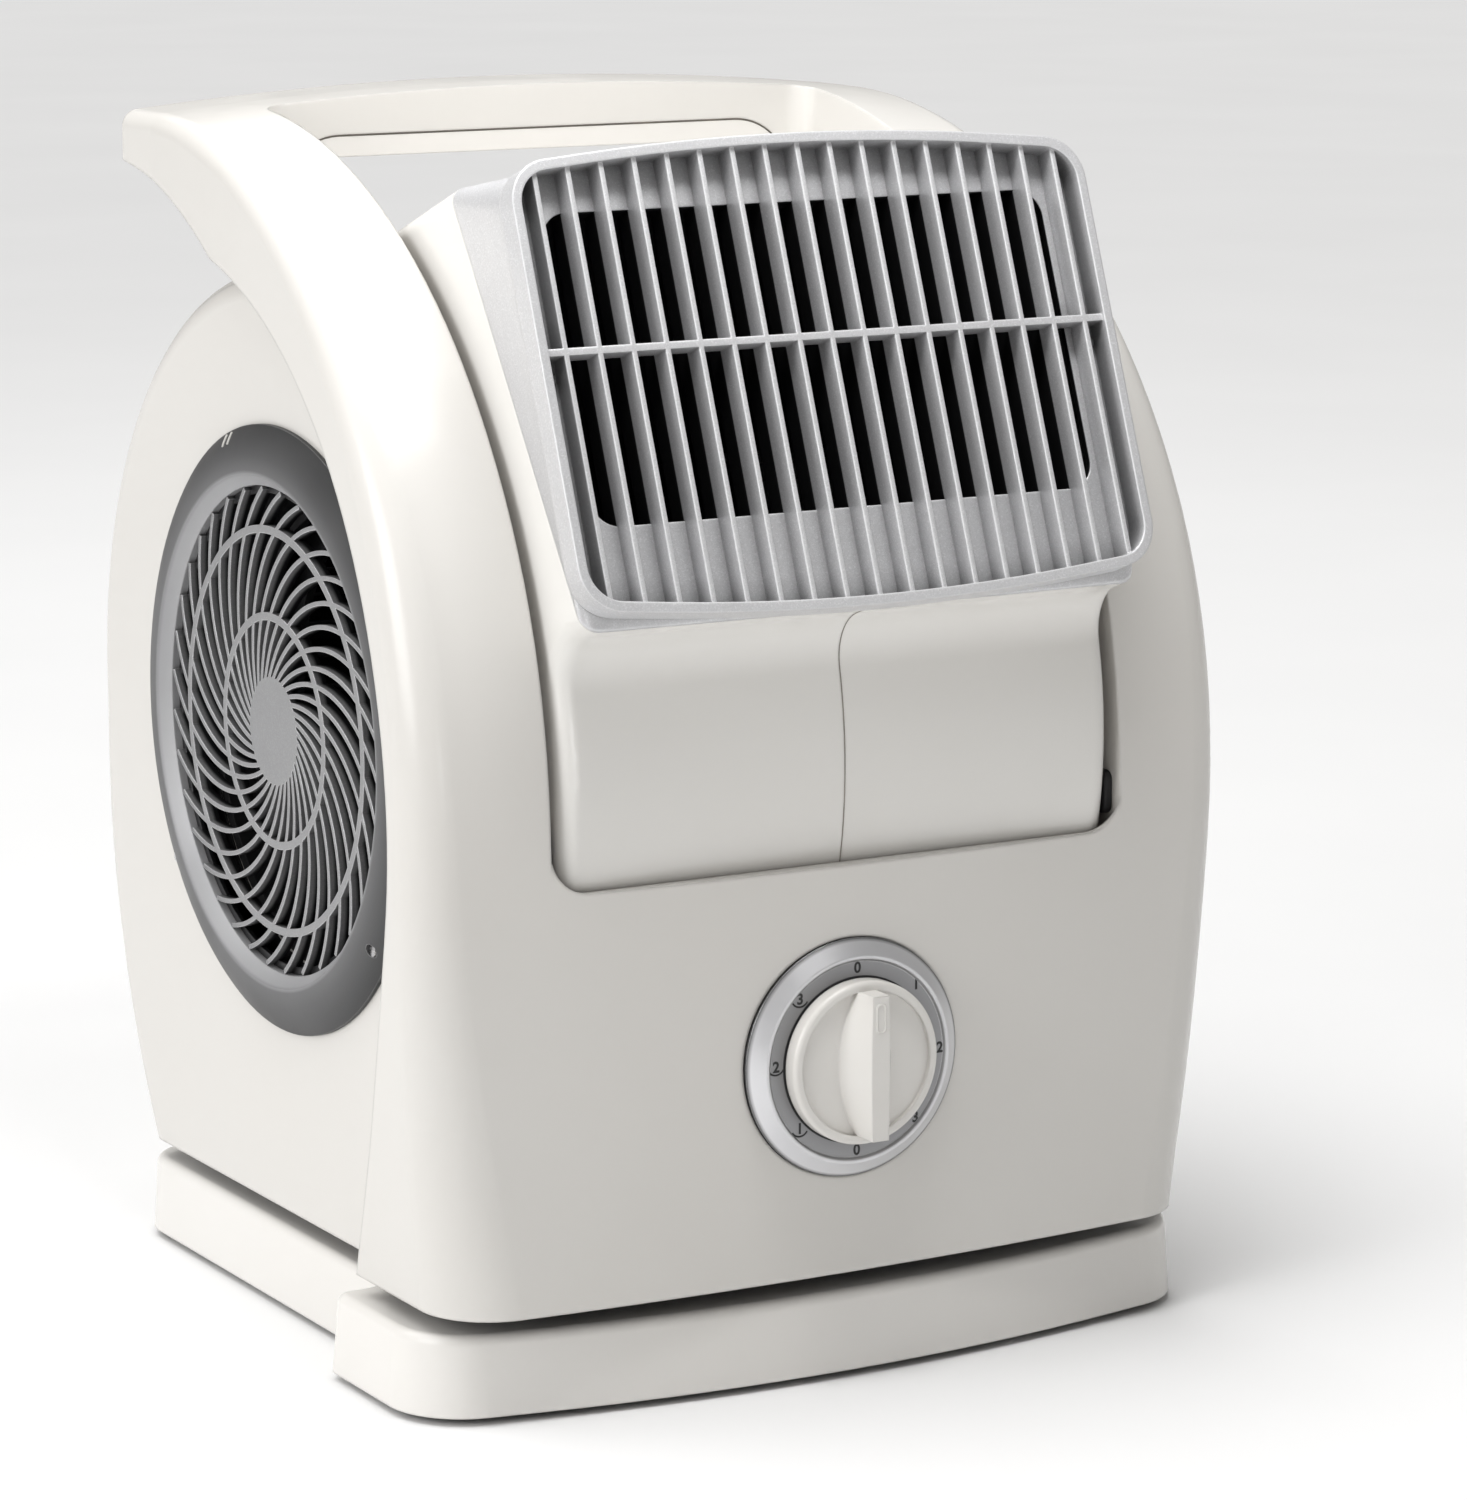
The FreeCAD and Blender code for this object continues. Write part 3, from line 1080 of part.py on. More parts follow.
def build_motor():
    can = new_body("motor_can", y=FAN_Y_TEXT, z=FAN_Z_TEXT)
    half = "sizes.motor_length / 2"
    nose = half + " + sizes.motor_nose"
    bore = "sizes.shaft_radius + 1"
    seat = "sizes.bearing_radius"
    inner = nose + " - sizes.bearing_length"
    sketch = polygon(can, "motor_section", "XY_Plane", [
        ("-(" + inner + ")", bore), ("-(" + inner + ")", seat), ("-(" + nose + ")", seat),
        ("-(" + nose + ")", "sizes.motor_nose_radius - 2"),
        ("-(" + half + ") - 2", "sizes.motor_nose_radius"),
        ("-(" + half + ")", "sizes.motor_radius - 5"), ("-(" + half + ") + 5", "sizes.motor_radius"),
        (half + " - 5", "sizes.motor_radius"), (half, "sizes.motor_radius - 5"),
        (half + " + 2", "sizes.motor_nose_radius"), (nose, "sizes.motor_nose_radius - 2"),
        (nose, seat), (inner, seat), (inner, bore)])
    revolve(can, sketch, "X_Axis")

    sleeves = []
    for side, name in ((-1, "left"), (1, "right")):
        start = f"{side} * ({nose} - sizes.bearing_length)"
        axis = X_AXIS * side
        outer = cylinder(f"{name}_bearing_body", seat, "sizes.bearing_length", start, FAN_Y_TEXT, FAN_Z_TEXT, axis)
        hole = cylinder(f"{name}_bearing_bore", "sizes.shaft_radius + sizes.shaft_clearance",
                        "sizes.bearing_length", start, FAN_Y_TEXT, FAN_Z_TEXT, axis)
        sleeves.append(cut_piece(f"{name}_bearing", outer, hole))
    group("motor_bearings", sleeves)

    group("fan_shaft", [cylinder("shaft_rod", "sizes.shaft_radius", "sizes.shaft_length + 2 * sizes.motor_nose",
                                 "-sizes.shaft_length / 2 - sizes.motor_nose", FAN_Y_TEXT, FAN_Z_TEXT, X_AXIS)])

    half_width = size.bracket_width / 2
    start = FAN_CENTRE - X_AXIS * half_width
    band = tube(size.motor_radius + size.bracket_thickness, size.motor_radius, start, X_AXIS, size.bracket_width)
    reach = DRUM_RADIUS - size.drum_wall
    arms = []
    for angle in (150.0, 215.0, 280.0):
        arm = Part.makeBox(size.bracket_width, size.bracket_thickness, reach,
                           vector(-half_width, -size.bracket_thickness / 2, size.motor_radius + 0.5))
        arm.Placement = FreeCAD.Placement(FAN_CENTRE, FreeCAD.Rotation(X_AXIS, 90.0 - angle))
        arms.append(arm)
    limit = rod(reach, start, X_AXIS, size.bracket_width)
    bracket = band.fuse(arms).common(limit).removeSplitter()
    feature("motor_bracket", bracket)


def build_wheels():
    """Two squirrel-cage wheels, one each side of the motor."""
    tip = "sizes.wheel_radius"
    root = "(sizes.wheel_radius - sizes.blade_length)"
    far_end = "sizes.wheel_width"
    nuts = []
    for label, side in (("left_wheel", -1), ("right_wheel", 1)):
        sign = "-1" if side < 0 else "1"
        wheel = new_body(label, f"{sign} * ({WHEEL_START_TEXT})", FAN_Y_TEXT, FAN_Z_TEXT)
        plate = polygon(wheel, label + "_plate", "XY_Plane", [
            ("0", "sizes.shaft_radius"), (f"{sign} * sizes.wheel_hub_length", "sizes.shaft_radius"),
            (f"{sign} * sizes.wheel_hub_length", "sizes.wheel_hub_radius"),
            (f"{sign} * (sizes.wheel_plate + 3)", "sizes.wheel_hub_radius + 2"),
            (f"{sign} * sizes.wheel_plate", "sizes.wheel_hub_radius + 6"),
            (f"{sign} * sizes.wheel_plate", tip), ("0", tip)])
        revolve(wheel, plate, "X_Axis")
        blade = new_sketch(wheel, label + "_blade", "YZ_Plane")
        draw_blade(blade)
        blade_pad = pad(wheel, blade, far_end, reverse=side < 0)
        polar_pattern(wheel, blade_pad, "X_Axis", "sizes.blade_count")
        hoop = polygon(wheel, label + "_hoop", "XY_Plane", [
            (f"{sign} * ({far_end} - 3)", root), (f"{sign} * {far_end}", root), (f"{sign} * {far_end}", tip),
            (f"{sign} * ({far_end} - 3)", tip)])
        body_tip = revolve(wheel, hoop, "X_Axis")
        wheel.Tip = body_tip

        nut = doc.addObject("Part::Prism", label + "_nut_body")
        nut.Polygon = 6
        nut.setExpression("Circumradius", "sizes.nut_width / sqrt(3)")
        nut.setExpression("Height", "sizes.nut_height")
        nut.Placement = FreeCAD.Placement(vector(0, 0, 0), FreeCAD.Rotation(Z_AXIS, X_AXIS * side))
        nut_x = f"{sign} * ({WHEEL_START_TEXT} + sizes.wheel_hub_length)"
        set_place(nut, nut_x, FAN_Y_TEXT, FAN_Z_TEXT)
        hole = cylinder(label + "_nut_bore", "sizes.shaft_radius", "sizes.nut_height", nut_x, FAN_Y_TEXT,
                        FAN_Z_TEXT, X_AXIS * side)
        nuts.append(cut_piece(label + "_nut", nut, hole))
    group("wheel_nuts", nuts)


def draw_blade(sketch):
    """A forward-curved blade, drawn as two arcs between the root and the tip circle."""
    root = size.wheel_radius - size.blade_length
    half = size.blade_thickness / 2
    bulge = size.blade_length * 0.22
    middle = (root + size.wheel_radius) / 2
    tip = size.wheel_radius - 0.5
    start_low = vector(-half, root, 0)
    end_low = vector(-half, tip, 0)
    start_high = vector(half, root, 0)
    end_high = vector(half, tip, 0)
    sketch.addGeometry(Part.Arc(start_low, vector(bulge - half, middle, 0), end_low), False)
    sketch.addGeometry(Part.LineSegment(end_low, end_high), False)
    sketch.addGeometry(Part.Arc(end_high, vector(bulge + half, middle, 0), start_high), False)
    sketch.addGeometry(Part.LineSegment(start_high, start_low), False)


def spiral_vane(sketch, side):
    """One vane of the intake grille: an arc that winds clockwise from hub to rim, seen from outside."""
    start = size.grille_hub_radius - 1
    end = size.rim_bore - size.spiral_thickness / 2
    turn = side * math.radians(size.spiral_turn)
    places = []
    for share, turn_share in ((0.0, 0.0), (0.5, size.spiral_middle), (1.0, 1.0)):
        radius = start + (end - start) * share
        angle = turn * turn_share
        places.append(vector(radius * math.sin(angle), radius * math.cos(angle), 0))
    line = Part.Arc(*places).toShape().Curve

    def offset(distance):
        grow = (line.Radius + distance) / line.Radius
        return [line.Center + (place - line.Center) * grow for place in places]

    low = offset(-size.spiral_thickness / 2)
    high = offset(size.spiral_thickness / 2)
    sketch.addGeometry(Part.Arc(*low), False)
    sketch.addGeometry(Part.LineSegment(low[2], high[2]), False)
    sketch.addGeometry(Part.Arc(*reversed(high)), False)
    sketch.addGeometry(Part.LineSegment(high[0], low[0]), False)


RIM_SCREW = 0.6
RIM_SCREW_TURNS = (126.0, 232.0, 308.0)
RIM_SCREW_PLACE = 0.65


def rim_curve():
    """The radius of the rim's outer slope, which is level at the crest."""
    rise = size.rim_proud - size.rim_edge
    width = size.grille_diameter / 2 - size.rim_crest
    return (rise * rise + width * width) / (2 * rise)


def build_rim(side):
    """A rim that swells from the side of the body to its crest, and falls steeply to the grille inside."""
    outer = size.grille_diameter / 2
    curve = rim_curve()
    half_angle = math.asin((outer - size.rim_crest) / curve) / 2

    def place(out, radius):
        return vector(side * (HALF_BARREL + out), FAN_Y + radius, FAN_Z)

    edge = place(size.rim_edge, outer)
    slope = place(size.rim_proud - curve + curve * math.cos(half_angle),
                  size.rim_crest + curve * math.sin(half_angle))
    crest = place(size.rim_proud, size.rim_crest)
    corners = [crest, place(size.grille_proud, size.rim_bore), place(-size.rim_seat, size.rim_bore),
               place(-size.rim_seat, size.intake_bore - 1), place(0.0, size.intake_bore - 0.3),
               place(0.0, outer), edge]
    section = [Part.Arc(edge, slope, crest).toShape()]
    for start, end in zip(corners, corners[1:]):
        section.append(Part.LineSegment(start, end).toShape())
    return Part.Face(Part.Wire(section)).revolve(FAN_CENTRE, X_AXIS, 360)


def build_intakes():
    """On each side, a swelling rim on the body and a spiral grille inside it."""
    screws = []
    outer = size.grille_diameter / 2
    screw_radius = outer + (size.rim_crest - outer) * (1 - RIM_SCREW_PLACE)
    curve = rim_curve()
    screw_level = size.rim_proud - curve + math.sqrt(curve ** 2 - (screw_radius - size.rim_crest) ** 2) - 1.5
    for label, side in (("left", -1), ("right", 1)):
        rim = build_rim(side)
        for turn in RIM_SCREW_TURNS:
            angle = math.radians(turn)
            seat = vector(side * (HALF_BARREL + screw_level), FAN_Y + screw_radius * math.sin(angle),
                          FAN_Z + screw_radius * math.cos(angle))
            outward = X_AXIS * side
            head_way = RIM_SCREW * size.screw_head_radius + size.fit_gap
            rim = rim.cut(rod(head_way, seat, outward, size.rim_proud))
            rim = rim.cut(rod(RIM_SCREW * size.screw_radius, seat, outward * -1.0, screw_level))
            screws.append(screw(seat, outward * -1.0, screw_level, RIM_SCREW))
        feature(f"{label}_intake_rim", rim)

        sign = "-1" if side < 0 else "1"
        back = f"{sign} * (sizes.barrel_width / 2 + sizes.grille_proud - sizes.grille_depth)"
        grille = new_body(f"{label}_intake_grille", back, FAN_Y_TEXT, FAN_Z_TEXT)
        hub = circles(grille, f"{label}_hub", "YZ_Plane", ["sizes.grille_hub_radius"])
        pad(grille, hub, "sizes.grille_depth", reverse=side < 0)
        vane = new_sketch(grille, f"{label}_vane", "YZ_Plane")
        spiral_vane(vane, side)
        vane_pad = pad(grille, vane, "sizes.grille_depth", reverse=side < 0)
        polar_pattern(grille, vane_pad, "X_Axis", "sizes.spiral_count")
        half = " sizes.grille_ring_width / 2"
        for name, radius, depth in (("inner", "sizes.grille_inner_ring", "sizes.grille_depth"),
                                    ("outer", "sizes.grille_outer_ring", "sizes.grille_depth"),
                                    ("edge", "(sizes.rim_bore - sizes.grille_ring_width / 2)", "1.5")):
            radii = [radius + " +" + half, radius + " -" + half]
            ring = circles(grille, f"{label}_{name}_ring", "YZ_Plane", radii)
            tip = pad(grille, ring, depth, reverse=side < 0)
            grille.Tip = tip
    feature("intake_screws", Part.makeCompound(screws))


# Dial and small pieces

def ridge_outline(half_width, half_end, reach, front):
    """The ridge of the knob at one level: pointed towards its ends, where it is cut off square."""
    def place(across, upward):
        return vector(across, front, size.dial_height + upward)

    edges = []
    for side in (1, -1):
        start = place(side * half_end, -side * reach)
        end = place(side * half_end, side * reach)
        edges.append(Part.Arc(start, place(side * half_width, 0.0), end).toShape())
        edges.append(Part.LineSegment(end, place(-side * half_end, side * reach)).toShape())
    return Part.Wire(edges)


def knob_shape():
    """A dished round knob with a ridge across it that flares from a narrow front to a broad foot."""
    back = BEZEL_SEAT_Y - size.bezel_height + 0.8 - size.knob_clearance
    centre = vector(0, back, size.dial_height)
    forward = Y_AXIS * -1.0
    body = rod(size.knob_radius, centre, forward, size.knob_skirt)
    front_edge = [edge for edge in body.Edges if edge.BoundBox.YMax < back - size.knob_skirt + 0.01]
    body = body.makeFillet(size.knob_rim / 2, front_edge)
    face = back - size.knob_skirt + size.knob_dish
    dish_radius = size.knob_radius - size.knob_rim
    body = body.cut(rod(dish_radius, vector(0, face, size.dial_height), forward, size.knob_skirt))
    narrow = size.knob_ridge_width / 2
    foot = ridge_outline(size.knob_ridge_foot / 2, narrow, dish_radius, face)
    front = ridge_outline(narrow, narrow * 0.9, dish_radius, back - size.knob_height)
    ridge = Part.makeLoft([foot, front], True, True)
    body = body.fuse(ridge).removeSplitter()
    return body.cut(rod(size.spindle_radius, centre, forward, size.knob_skirt))


def build_dial():
    """The knob on its ring, and the switch that it turns behind the panel."""
    bezel = new_body("dial_bezel", "0", BEZEL_SEAT_TEXT, "sizes.dial_height")
    out = "-sizes.bezel_height"
    sketch = polygon(bezel, "bezel_section", "XY_Plane", [
        ("sizes.switch_neck_radius + sizes.fit_gap", "0"), ("sizes.bezel_radius", "0"),
        ("sizes.bezel_radius", out + " + 4"), ("sizes.bezel_face_radius + 1", out),
        ("sizes.bezel_face_radius", out), ("sizes.bezel_face_radius - 0.8", out + " + 0.8"),
        ("sizes.switch_neck_radius + sizes.fit_gap", out + " + 0.8")])
    revolve(bezel, sketch, "Y_Axis")

    feature("dial_knob", knob_shape())

    spindle_start = BEZEL_SEAT_TEXT + " - sizes.bezel_height + 0.8 - sizes.knob_clearance - sizes.knob_skirt"
    spindle_end = "-sizes.base_front_reach + sizes.wall + sizes.switch_depth - 2"
    group("switch_spindle", [cylinder("spindle_rod", "sizes.spindle_radius",
                                      f"({spindle_end}) - ({spindle_start})", "0", spindle_start,
                                      "sizes.dial_height", Y_AXIS)])

    switch = new_body("rotary_switch", "0", "-sizes.base_front_reach + sizes.wall + 0.3", "sizes.dial_height")
    half = "sizes.switch_width / 2"
    case = polygon(switch, "switch_case", "XZ_Plane", [
        ("-" + half, "-" + half), (half, "-" + half), (half, half), ("-" + half, half)])
    pad(switch, case, "sizes.switch_depth", reverse=True)
    neck = circles(switch, "switch_neck", "XZ_Plane", ["sizes.switch_neck_radius"])
    pad(switch, neck, "sizes.wall + 0.3 + sizes.bezel_height - 2.5")
    bore = circles(switch, "switch_bore", "XZ_Plane", ["sizes.spindle_radius + sizes.spindle_clearance"])
    raise_sketch(bore, "20")
    pocket(switch, bore, "20 + sizes.switch_depth - 1")


def build_small_pieces():
    """The run capacitor on the floor plate, and the inlet for the cord."""
    box = doc.addObject("Part::Box", "capacitor_box")
    box.setExpression("Length", "sizes.capacitor_length")
    box.setExpression("Width", "sizes.capacitor_width")
    box.setExpression("Height", "sizes.capacitor_height")
    set_place(box, "sizes.arch_foot_width / 8", "-sizes.base_front_reach + 3 * sizes.capacitor_width / 2",
              FLOOR_TOP_TEXT)
    group("run_capacitor", [box])

    place, outward = gland_place()
    inner = place - outward * (2 * size.wall + size.fit_gap)
    sleeve = rod(size.gland_radius, inner, outward, 2 * size.wall + 1)
    collar = rod(size.gland_radius + 2, inner, outward, size.wall)
    bore = rod(size.gland_radius - 2, place - outward * FAR / 2, outward, FAR)
    feature("cord_gland", sleeve.fuse(collar).cut(bore).removeSplitter())


def check_and_write():
    doc.recompute()
    for item in doc.Objects:
        if "Invalid" in item.State or "Error" in item.State:
            raise ValueError(f"{item.Name} did not build: {item.State}")
    os.makedirs("parts", exist_ok=True)
    for piece in PARTS:
        if piece.Shape.isNull() or not piece.Shape.isValid():
            raise ValueError(f"{piece.Label} has no valid shape")
    for piece in PARTS:
        piece.Shape.exportStep(f"parts/{piece.Label}.step")


build_base()
build_swivel()
build_drive()
full_arch = build_arch()
build_barrel(full_arch)
build_floor()
build_drum()
build_nozzle()
build_motor()
build_wheels()
build_intakes()
build_dial()
build_small_pieces()
check_and_write()
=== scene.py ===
import json
import math
import bmesh
import bpy
from mathutils import Matrix, Vector


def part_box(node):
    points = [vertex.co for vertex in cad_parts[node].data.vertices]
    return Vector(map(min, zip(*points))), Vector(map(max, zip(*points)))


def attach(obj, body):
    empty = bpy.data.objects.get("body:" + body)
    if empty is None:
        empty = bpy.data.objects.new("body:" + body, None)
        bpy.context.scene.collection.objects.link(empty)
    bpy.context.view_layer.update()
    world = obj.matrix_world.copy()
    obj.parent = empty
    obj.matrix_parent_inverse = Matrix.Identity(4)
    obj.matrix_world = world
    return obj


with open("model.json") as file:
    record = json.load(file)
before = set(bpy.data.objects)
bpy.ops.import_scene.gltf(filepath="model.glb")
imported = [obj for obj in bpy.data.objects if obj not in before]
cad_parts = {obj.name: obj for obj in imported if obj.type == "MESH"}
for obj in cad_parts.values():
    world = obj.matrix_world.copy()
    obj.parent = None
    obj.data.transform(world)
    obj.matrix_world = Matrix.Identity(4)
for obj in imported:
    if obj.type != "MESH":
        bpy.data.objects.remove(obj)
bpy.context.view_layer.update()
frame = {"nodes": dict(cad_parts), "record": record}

# Metres, in the frame of the solids: +Z up, the front faces -Y and the fan axis runs along X.
# The sizes below are in millimetres, as on a drawing. Left is where -X is.
MM = 0.001
SIDES = (("left", -1.0), ("right", 1.0))


def middle(node):
    low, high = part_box(node)
    return (Vector(low) + Vector(high)) / 2


FAN = middle("fan_shaft")
DIAL = middle("dial_bezel")
# How far the outlet points up from level
LEAN = math.radians(21.0)
# Drum and duct, from the fan axis
DRUM_RADIUS = 139.5
DRUM_FRONT_RADIUS = 146.75
DRUM_WALL = 2.5
DUCT_FLOOR = 8.0
DUCT_FILLET = 16.0
# The front of the plate behind the nozzle's vanes, along the outlet from the fan axis
LIP_BACK = 169.6
# Half widths of the window in the front and of the body behind it
HALF_WINDOW = 102.5
HALF_BARREL = 122.5


def at(x, y, z):
    return Vector((x, y, z)) * MM


def polar(radius, degrees):
    angle = math.radians(degrees)
    return radius * math.cos(angle), radius * math.sin(angle)


def spaced(start, end, steps):
    """Evenly spaced values from start to end."""
    return [start + (end - start) * i / steps for i in range(steps + 1)]


def in_duct(across, along, upward):
    """A place from its distances across the fan, along the outlet and square to the outlet."""
    y = -along * math.cos(LEAN) + upward * math.sin(LEAN)
    z = along * math.sin(LEAN) + upward * math.cos(LEAN)
    return FAN + at(across, y, z)


def round_fan(radius, degrees, across=0.0):
    """A place round the fan axis: 0 degrees is straight ahead and 90 straight up."""
    ahead, above = polar(radius, degrees)
    return FAN + at(across, -ahead, above)


# Shader nodes. The scales of noises and cells are per metre.

# Most of a noise lies between these two values
NOISE_LOW = 0.3
NOISE_HIGH = 0.7


def plug(tree, node, inputs):
    """Gives a node's inputs their values, by a link or as constants."""
    for key, value in inputs.items():
        if isinstance(value, bpy.types.NodeSocket):
            tree.links.new(value, node.inputs[key])
        else:
            node.inputs[key].default_value = value


def add(tree, kind, inputs, **settings):
    """One shader node, with its settings and what goes into its sockets."""
    node = tree.nodes.new(kind)
    for key, value in settings.items():
        setattr(node, key, value)
    plug(tree, node, inputs)
    return node


def new_material(name):
    material = bpy.data.materials.new(name)
    material.use_nodes = True
    tree = material.node_tree
    return material, tree, tree.nodes["Principled BSDF"]


def grey(level):
    return (level, level, level, 1.0)


def shade(colour, factor, warm=0.0):
    red, green, blue = (channel * factor for channel in colour)
    return (red * (1 + warm), green, blue * (1 - warm), 1.0)


def object_place(tree, stretch=(1.0, 1.0, 1.0)):
    place = add(tree, "ShaderNodeTexCoord", {}).outputs["Object"]
    return add(tree, "ShaderNodeMapping", {"Vector": place, "Scale": stretch}).outputs["Vector"]


def noise(tree, place, scale, detail, distortion=0.0):
    inputs = {"Vector": place, "Scale": scale, "Detail": detail, "Distortion": distortion}
    return add(tree, "ShaderNodeTexNoise", inputs).outputs[0]


def calculate(tree, operation, *values):
    return add(tree, "ShaderNodeMath", dict(enumerate(values)), operation=operation).outputs[0]


def vector_math(tree, operation, *values, result="Vector"):
    return add(tree, "ShaderNodeVectorMath", dict(enumerate(values)), operation=operation).outputs[result]


def map_range(tree, value, start, end, low=0.0, high=1.0):
    """Goes from low to high while the value goes from start to end."""
    inputs = {"Value": value, "From Min": start, "From Max": end, "To Min": low, "To Max": high}
    return add(tree, "ShaderNodeMapRange", inputs).outputs["Result"]


def between(tree, value, low, high):
    """A noise value spread between two limits."""
    return map_range(tree, value, NOISE_LOW, NOISE_HIGH, low, high)


def ramp(tree, value, stops):
    """A colour from (position, colour) stops."""
    node = add(tree, "ShaderNodeValToRGB", {"Fac": value})
    elements = node.color_ramp.elements
    for element, (position, colour) in ((elements[0], stops[0]), (elements[1], stops[-1])):
        element.position = position
        element.color = colour
    for position, colour in stops[1:-1]:
        elements.new(position).color = colour
    return node.outputs["Color"]


def mix(tree, share, first, second, blend="MIX"):
    """A mix of two colours, whose sockets go by number because their names repeat."""
    inputs = {0: share, 6: first, 7: second}
    return add(tree, "ShaderNodeMix", inputs, data_type="RGBA", blend_type=blend).outputs[2]


def openness(tree, reach, samples):
    """How open a place is: 1 on open faces, and less in corners and hollows within a reach."""
    return add(tree, "ShaderNodeAmbientOcclusion", {"Distance": reach * MM}, samples=samples).outputs["AO"]


def rounded_normal(tree, rounding):
    """The normal over edges that are rounded off a little."""
    return add(tree, "ShaderNodeBevel", {"Radius": rounding * MM}, samples=6).outputs["Normal"]


def edge_mask(tree, rounded):
    """A mask of the edges, where the rounded normal leaves the plain one."""
    plain = add(tree, "ShaderNodeNewGeometry", {}).outputs["Normal"]
    likeness = vector_math(tree, "DOT_PRODUCT", rounded, plain, result="Value")
    return map_range(tree, likeness, start=0.995, end=0.80)


def relief(tree, height, normal, strength, depth):
    inputs = {"Strength": strength, "Distance": depth * MM, "Height": height, "Normal": normal}
    return add(tree, "ShaderNodeBump", inputs).outputs["Normal"]


def clouded(tree, tone, clouds, dullest):
    """A colour under faint clouds, which are a little blue where they are dullest."""
    veil = ramp(tree, clouds, [(0.35, (dullest, dullest, dullest + 0.005, 1.0)), (0.7, grey(1.0))])
    return mix(tree, 1.0, tone, veil, "MULTIPLY")


# Materials

BLACK = (0.012, 0.012, 0.013)
RING_GREY = (1.0, 1.0, 1.02)
PLASTIC_IOR = 1.49
# How much rounded off the edges look
RING_ROUNDING = 0.6
MATT_ROUNDING = 0.4
METAL_ROUNDING = 0.25


def moulded(name, colour, roughness, rounding):
    """Moulded plastic: faint clouds in the colour, a slight orange peel, smudges in the gloss, painted shade
    tinged like dust in the corners, and edges that handling has polished."""
    material, tree, shader = new_material(name)
    place = object_place(tree)
    normal = rounded_normal(tree, rounding)
    edge = edge_mask(tree, normal)

    clouds = noise(tree, place, scale=7.0, detail=2.0)
    dull = shade(colour, 0.985, warm=0.004)
    bright = shade(colour, 1.01, warm=-0.002)
    tone = ramp(tree, clouds, [(NOISE_LOW, dull), (NOISE_HIGH, bright)])
    tone = mix(tree, edge, tone, shade(colour, 1.04))
    # Darker in corners and hollows: painted shade, tinged brown like dust
    open_share = openness(tree, reach=7.0, samples=4)
    dust = map_range(tree, open_share, start=0.25, end=0.75, low=0.32, high=0.0)
    tone = mix(tree, dust, tone, shade(colour, 0.55, warm=0.06))

    smudges = noise(tree, place, scale=40.0, detail=3.0)
    gloss = between(tree, smudges, roughness - 0.025, roughness + 0.025)
    polish = calculate(tree, "MULTIPLY", edge, -0.08)
    gloss = calculate(tree, "ADD", gloss, polish)

    peel = noise(tree, place, scale=240.0, detail=1.0)
    skin = relief(tree, peel, normal, strength=0.012, depth=0.4)
    plug(tree, shader, {"Base Color": tone, "Roughness": gloss, "Normal": skin, "IOR": PLASTIC_IOR})
    return material


def lacquer_grain(tree, place, normal):
    grain = noise(tree, place, scale=1800.0, detail=2.0)
    return relief(tree, grain, normal, strength=0.09, depth=0.3)


def silver_paint(name, colour, roughness, metallic, rounding, bright_edge, bare):
    """Silver lacquer on plastic: fine flakes, faint clouds, painted shade in the hollows, and edges made
    lighter, partly as wear and partly as a painted highlight. What the shade mask covers is painted black, as
    shade."""
    material, tree, shader = new_material(name)
    place = object_place(tree)
    normal = rounded_normal(tree, rounding)

    cells = add(tree, "ShaderNodeTexVoronoi", {"Vector": place, "Scale": 2600.0}).outputs["Color"]
    flakes = add(tree, "ShaderNodeSeparateColor", {"Color": cells}).outputs[0]
    dull = shade(colour, 0.90)
    bright = shade(colour, 1.12)
    tone = ramp(tree, flakes, [(0.0, dull), (0.85, shade(colour, 1.0)), (1.0, bright)])
    clouds = noise(tree, place, scale=16.0, detail=3.0)
    tone = clouded(tree, tone, clouds, dullest=0.96)
    # Lighter edges: partly wear where the lacquer is rubbed thin, partly a painted highlight
    tone = mix(tree, edge_mask(tree, normal), tone, shade(colour, bright_edge))
    # Painted shade: darker in corners and hollows
    painted_shade = ramp(tree, openness(tree, reach=10.0, samples=6), [(0.15, grey(0.3)), (0.7, grey(1.0))])
    tone = mix(tree, 1.0, tone, painted_shade, "MULTIPLY")
    # Painted shade: black over what the shade mask covers, behind the front
    tone = mix(tree, bare(tree, place), tone, shade(BLACK, 1.0))

    smudges = noise(tree, place, scale=45.0, detail=3.0, distortion=0.3)
    gloss = between(tree, smudges, roughness - 0.05, roughness + 0.08)
    skin = lacquer_grain(tree, place, normal)
    plug(tree, shader, {"Base Color": tone, "Roughness": gloss, "Normal": skin, "Metallic": metallic})
    return material


def behind_plate(tree, place):
    """A mask of what lies behind the nozzle's plate and inside its shroud, where black is painted as shade.
    """
    bottom = 0.0
    top = 129.0
    half = 95.0
    fade = 2.0
    mask_start = LIP_BACK - 0.15
    mask_full = LIP_BACK - 0.6
    from_axis = vector_math(tree, "SUBTRACT", place, FAN)

    def distance(direction):
        return vector_math(tree, "DOT_PRODUCT", from_axis, direction, result="Value")

    along = distance((0.0, -math.cos(LEAN), math.sin(LEAN)))
    upward = distance((0.0, math.sin(LEAN), math.cos(LEAN)))
    sideways = calculate(tree, "ABSOLUTE", distance((1.0, 0.0, 0.0)))
    mask = map_range(tree, along, mask_start * MM, mask_full * MM)
    for value, outside, inside in ((upward, bottom - fade, bottom), (upward, top + fade, top),
                                   (sideways, half + fade, half)):
        mask = calculate(tree, "MULTIPLY", mask, map_range(tree, value, outside * MM, inside * MM))
    return mask


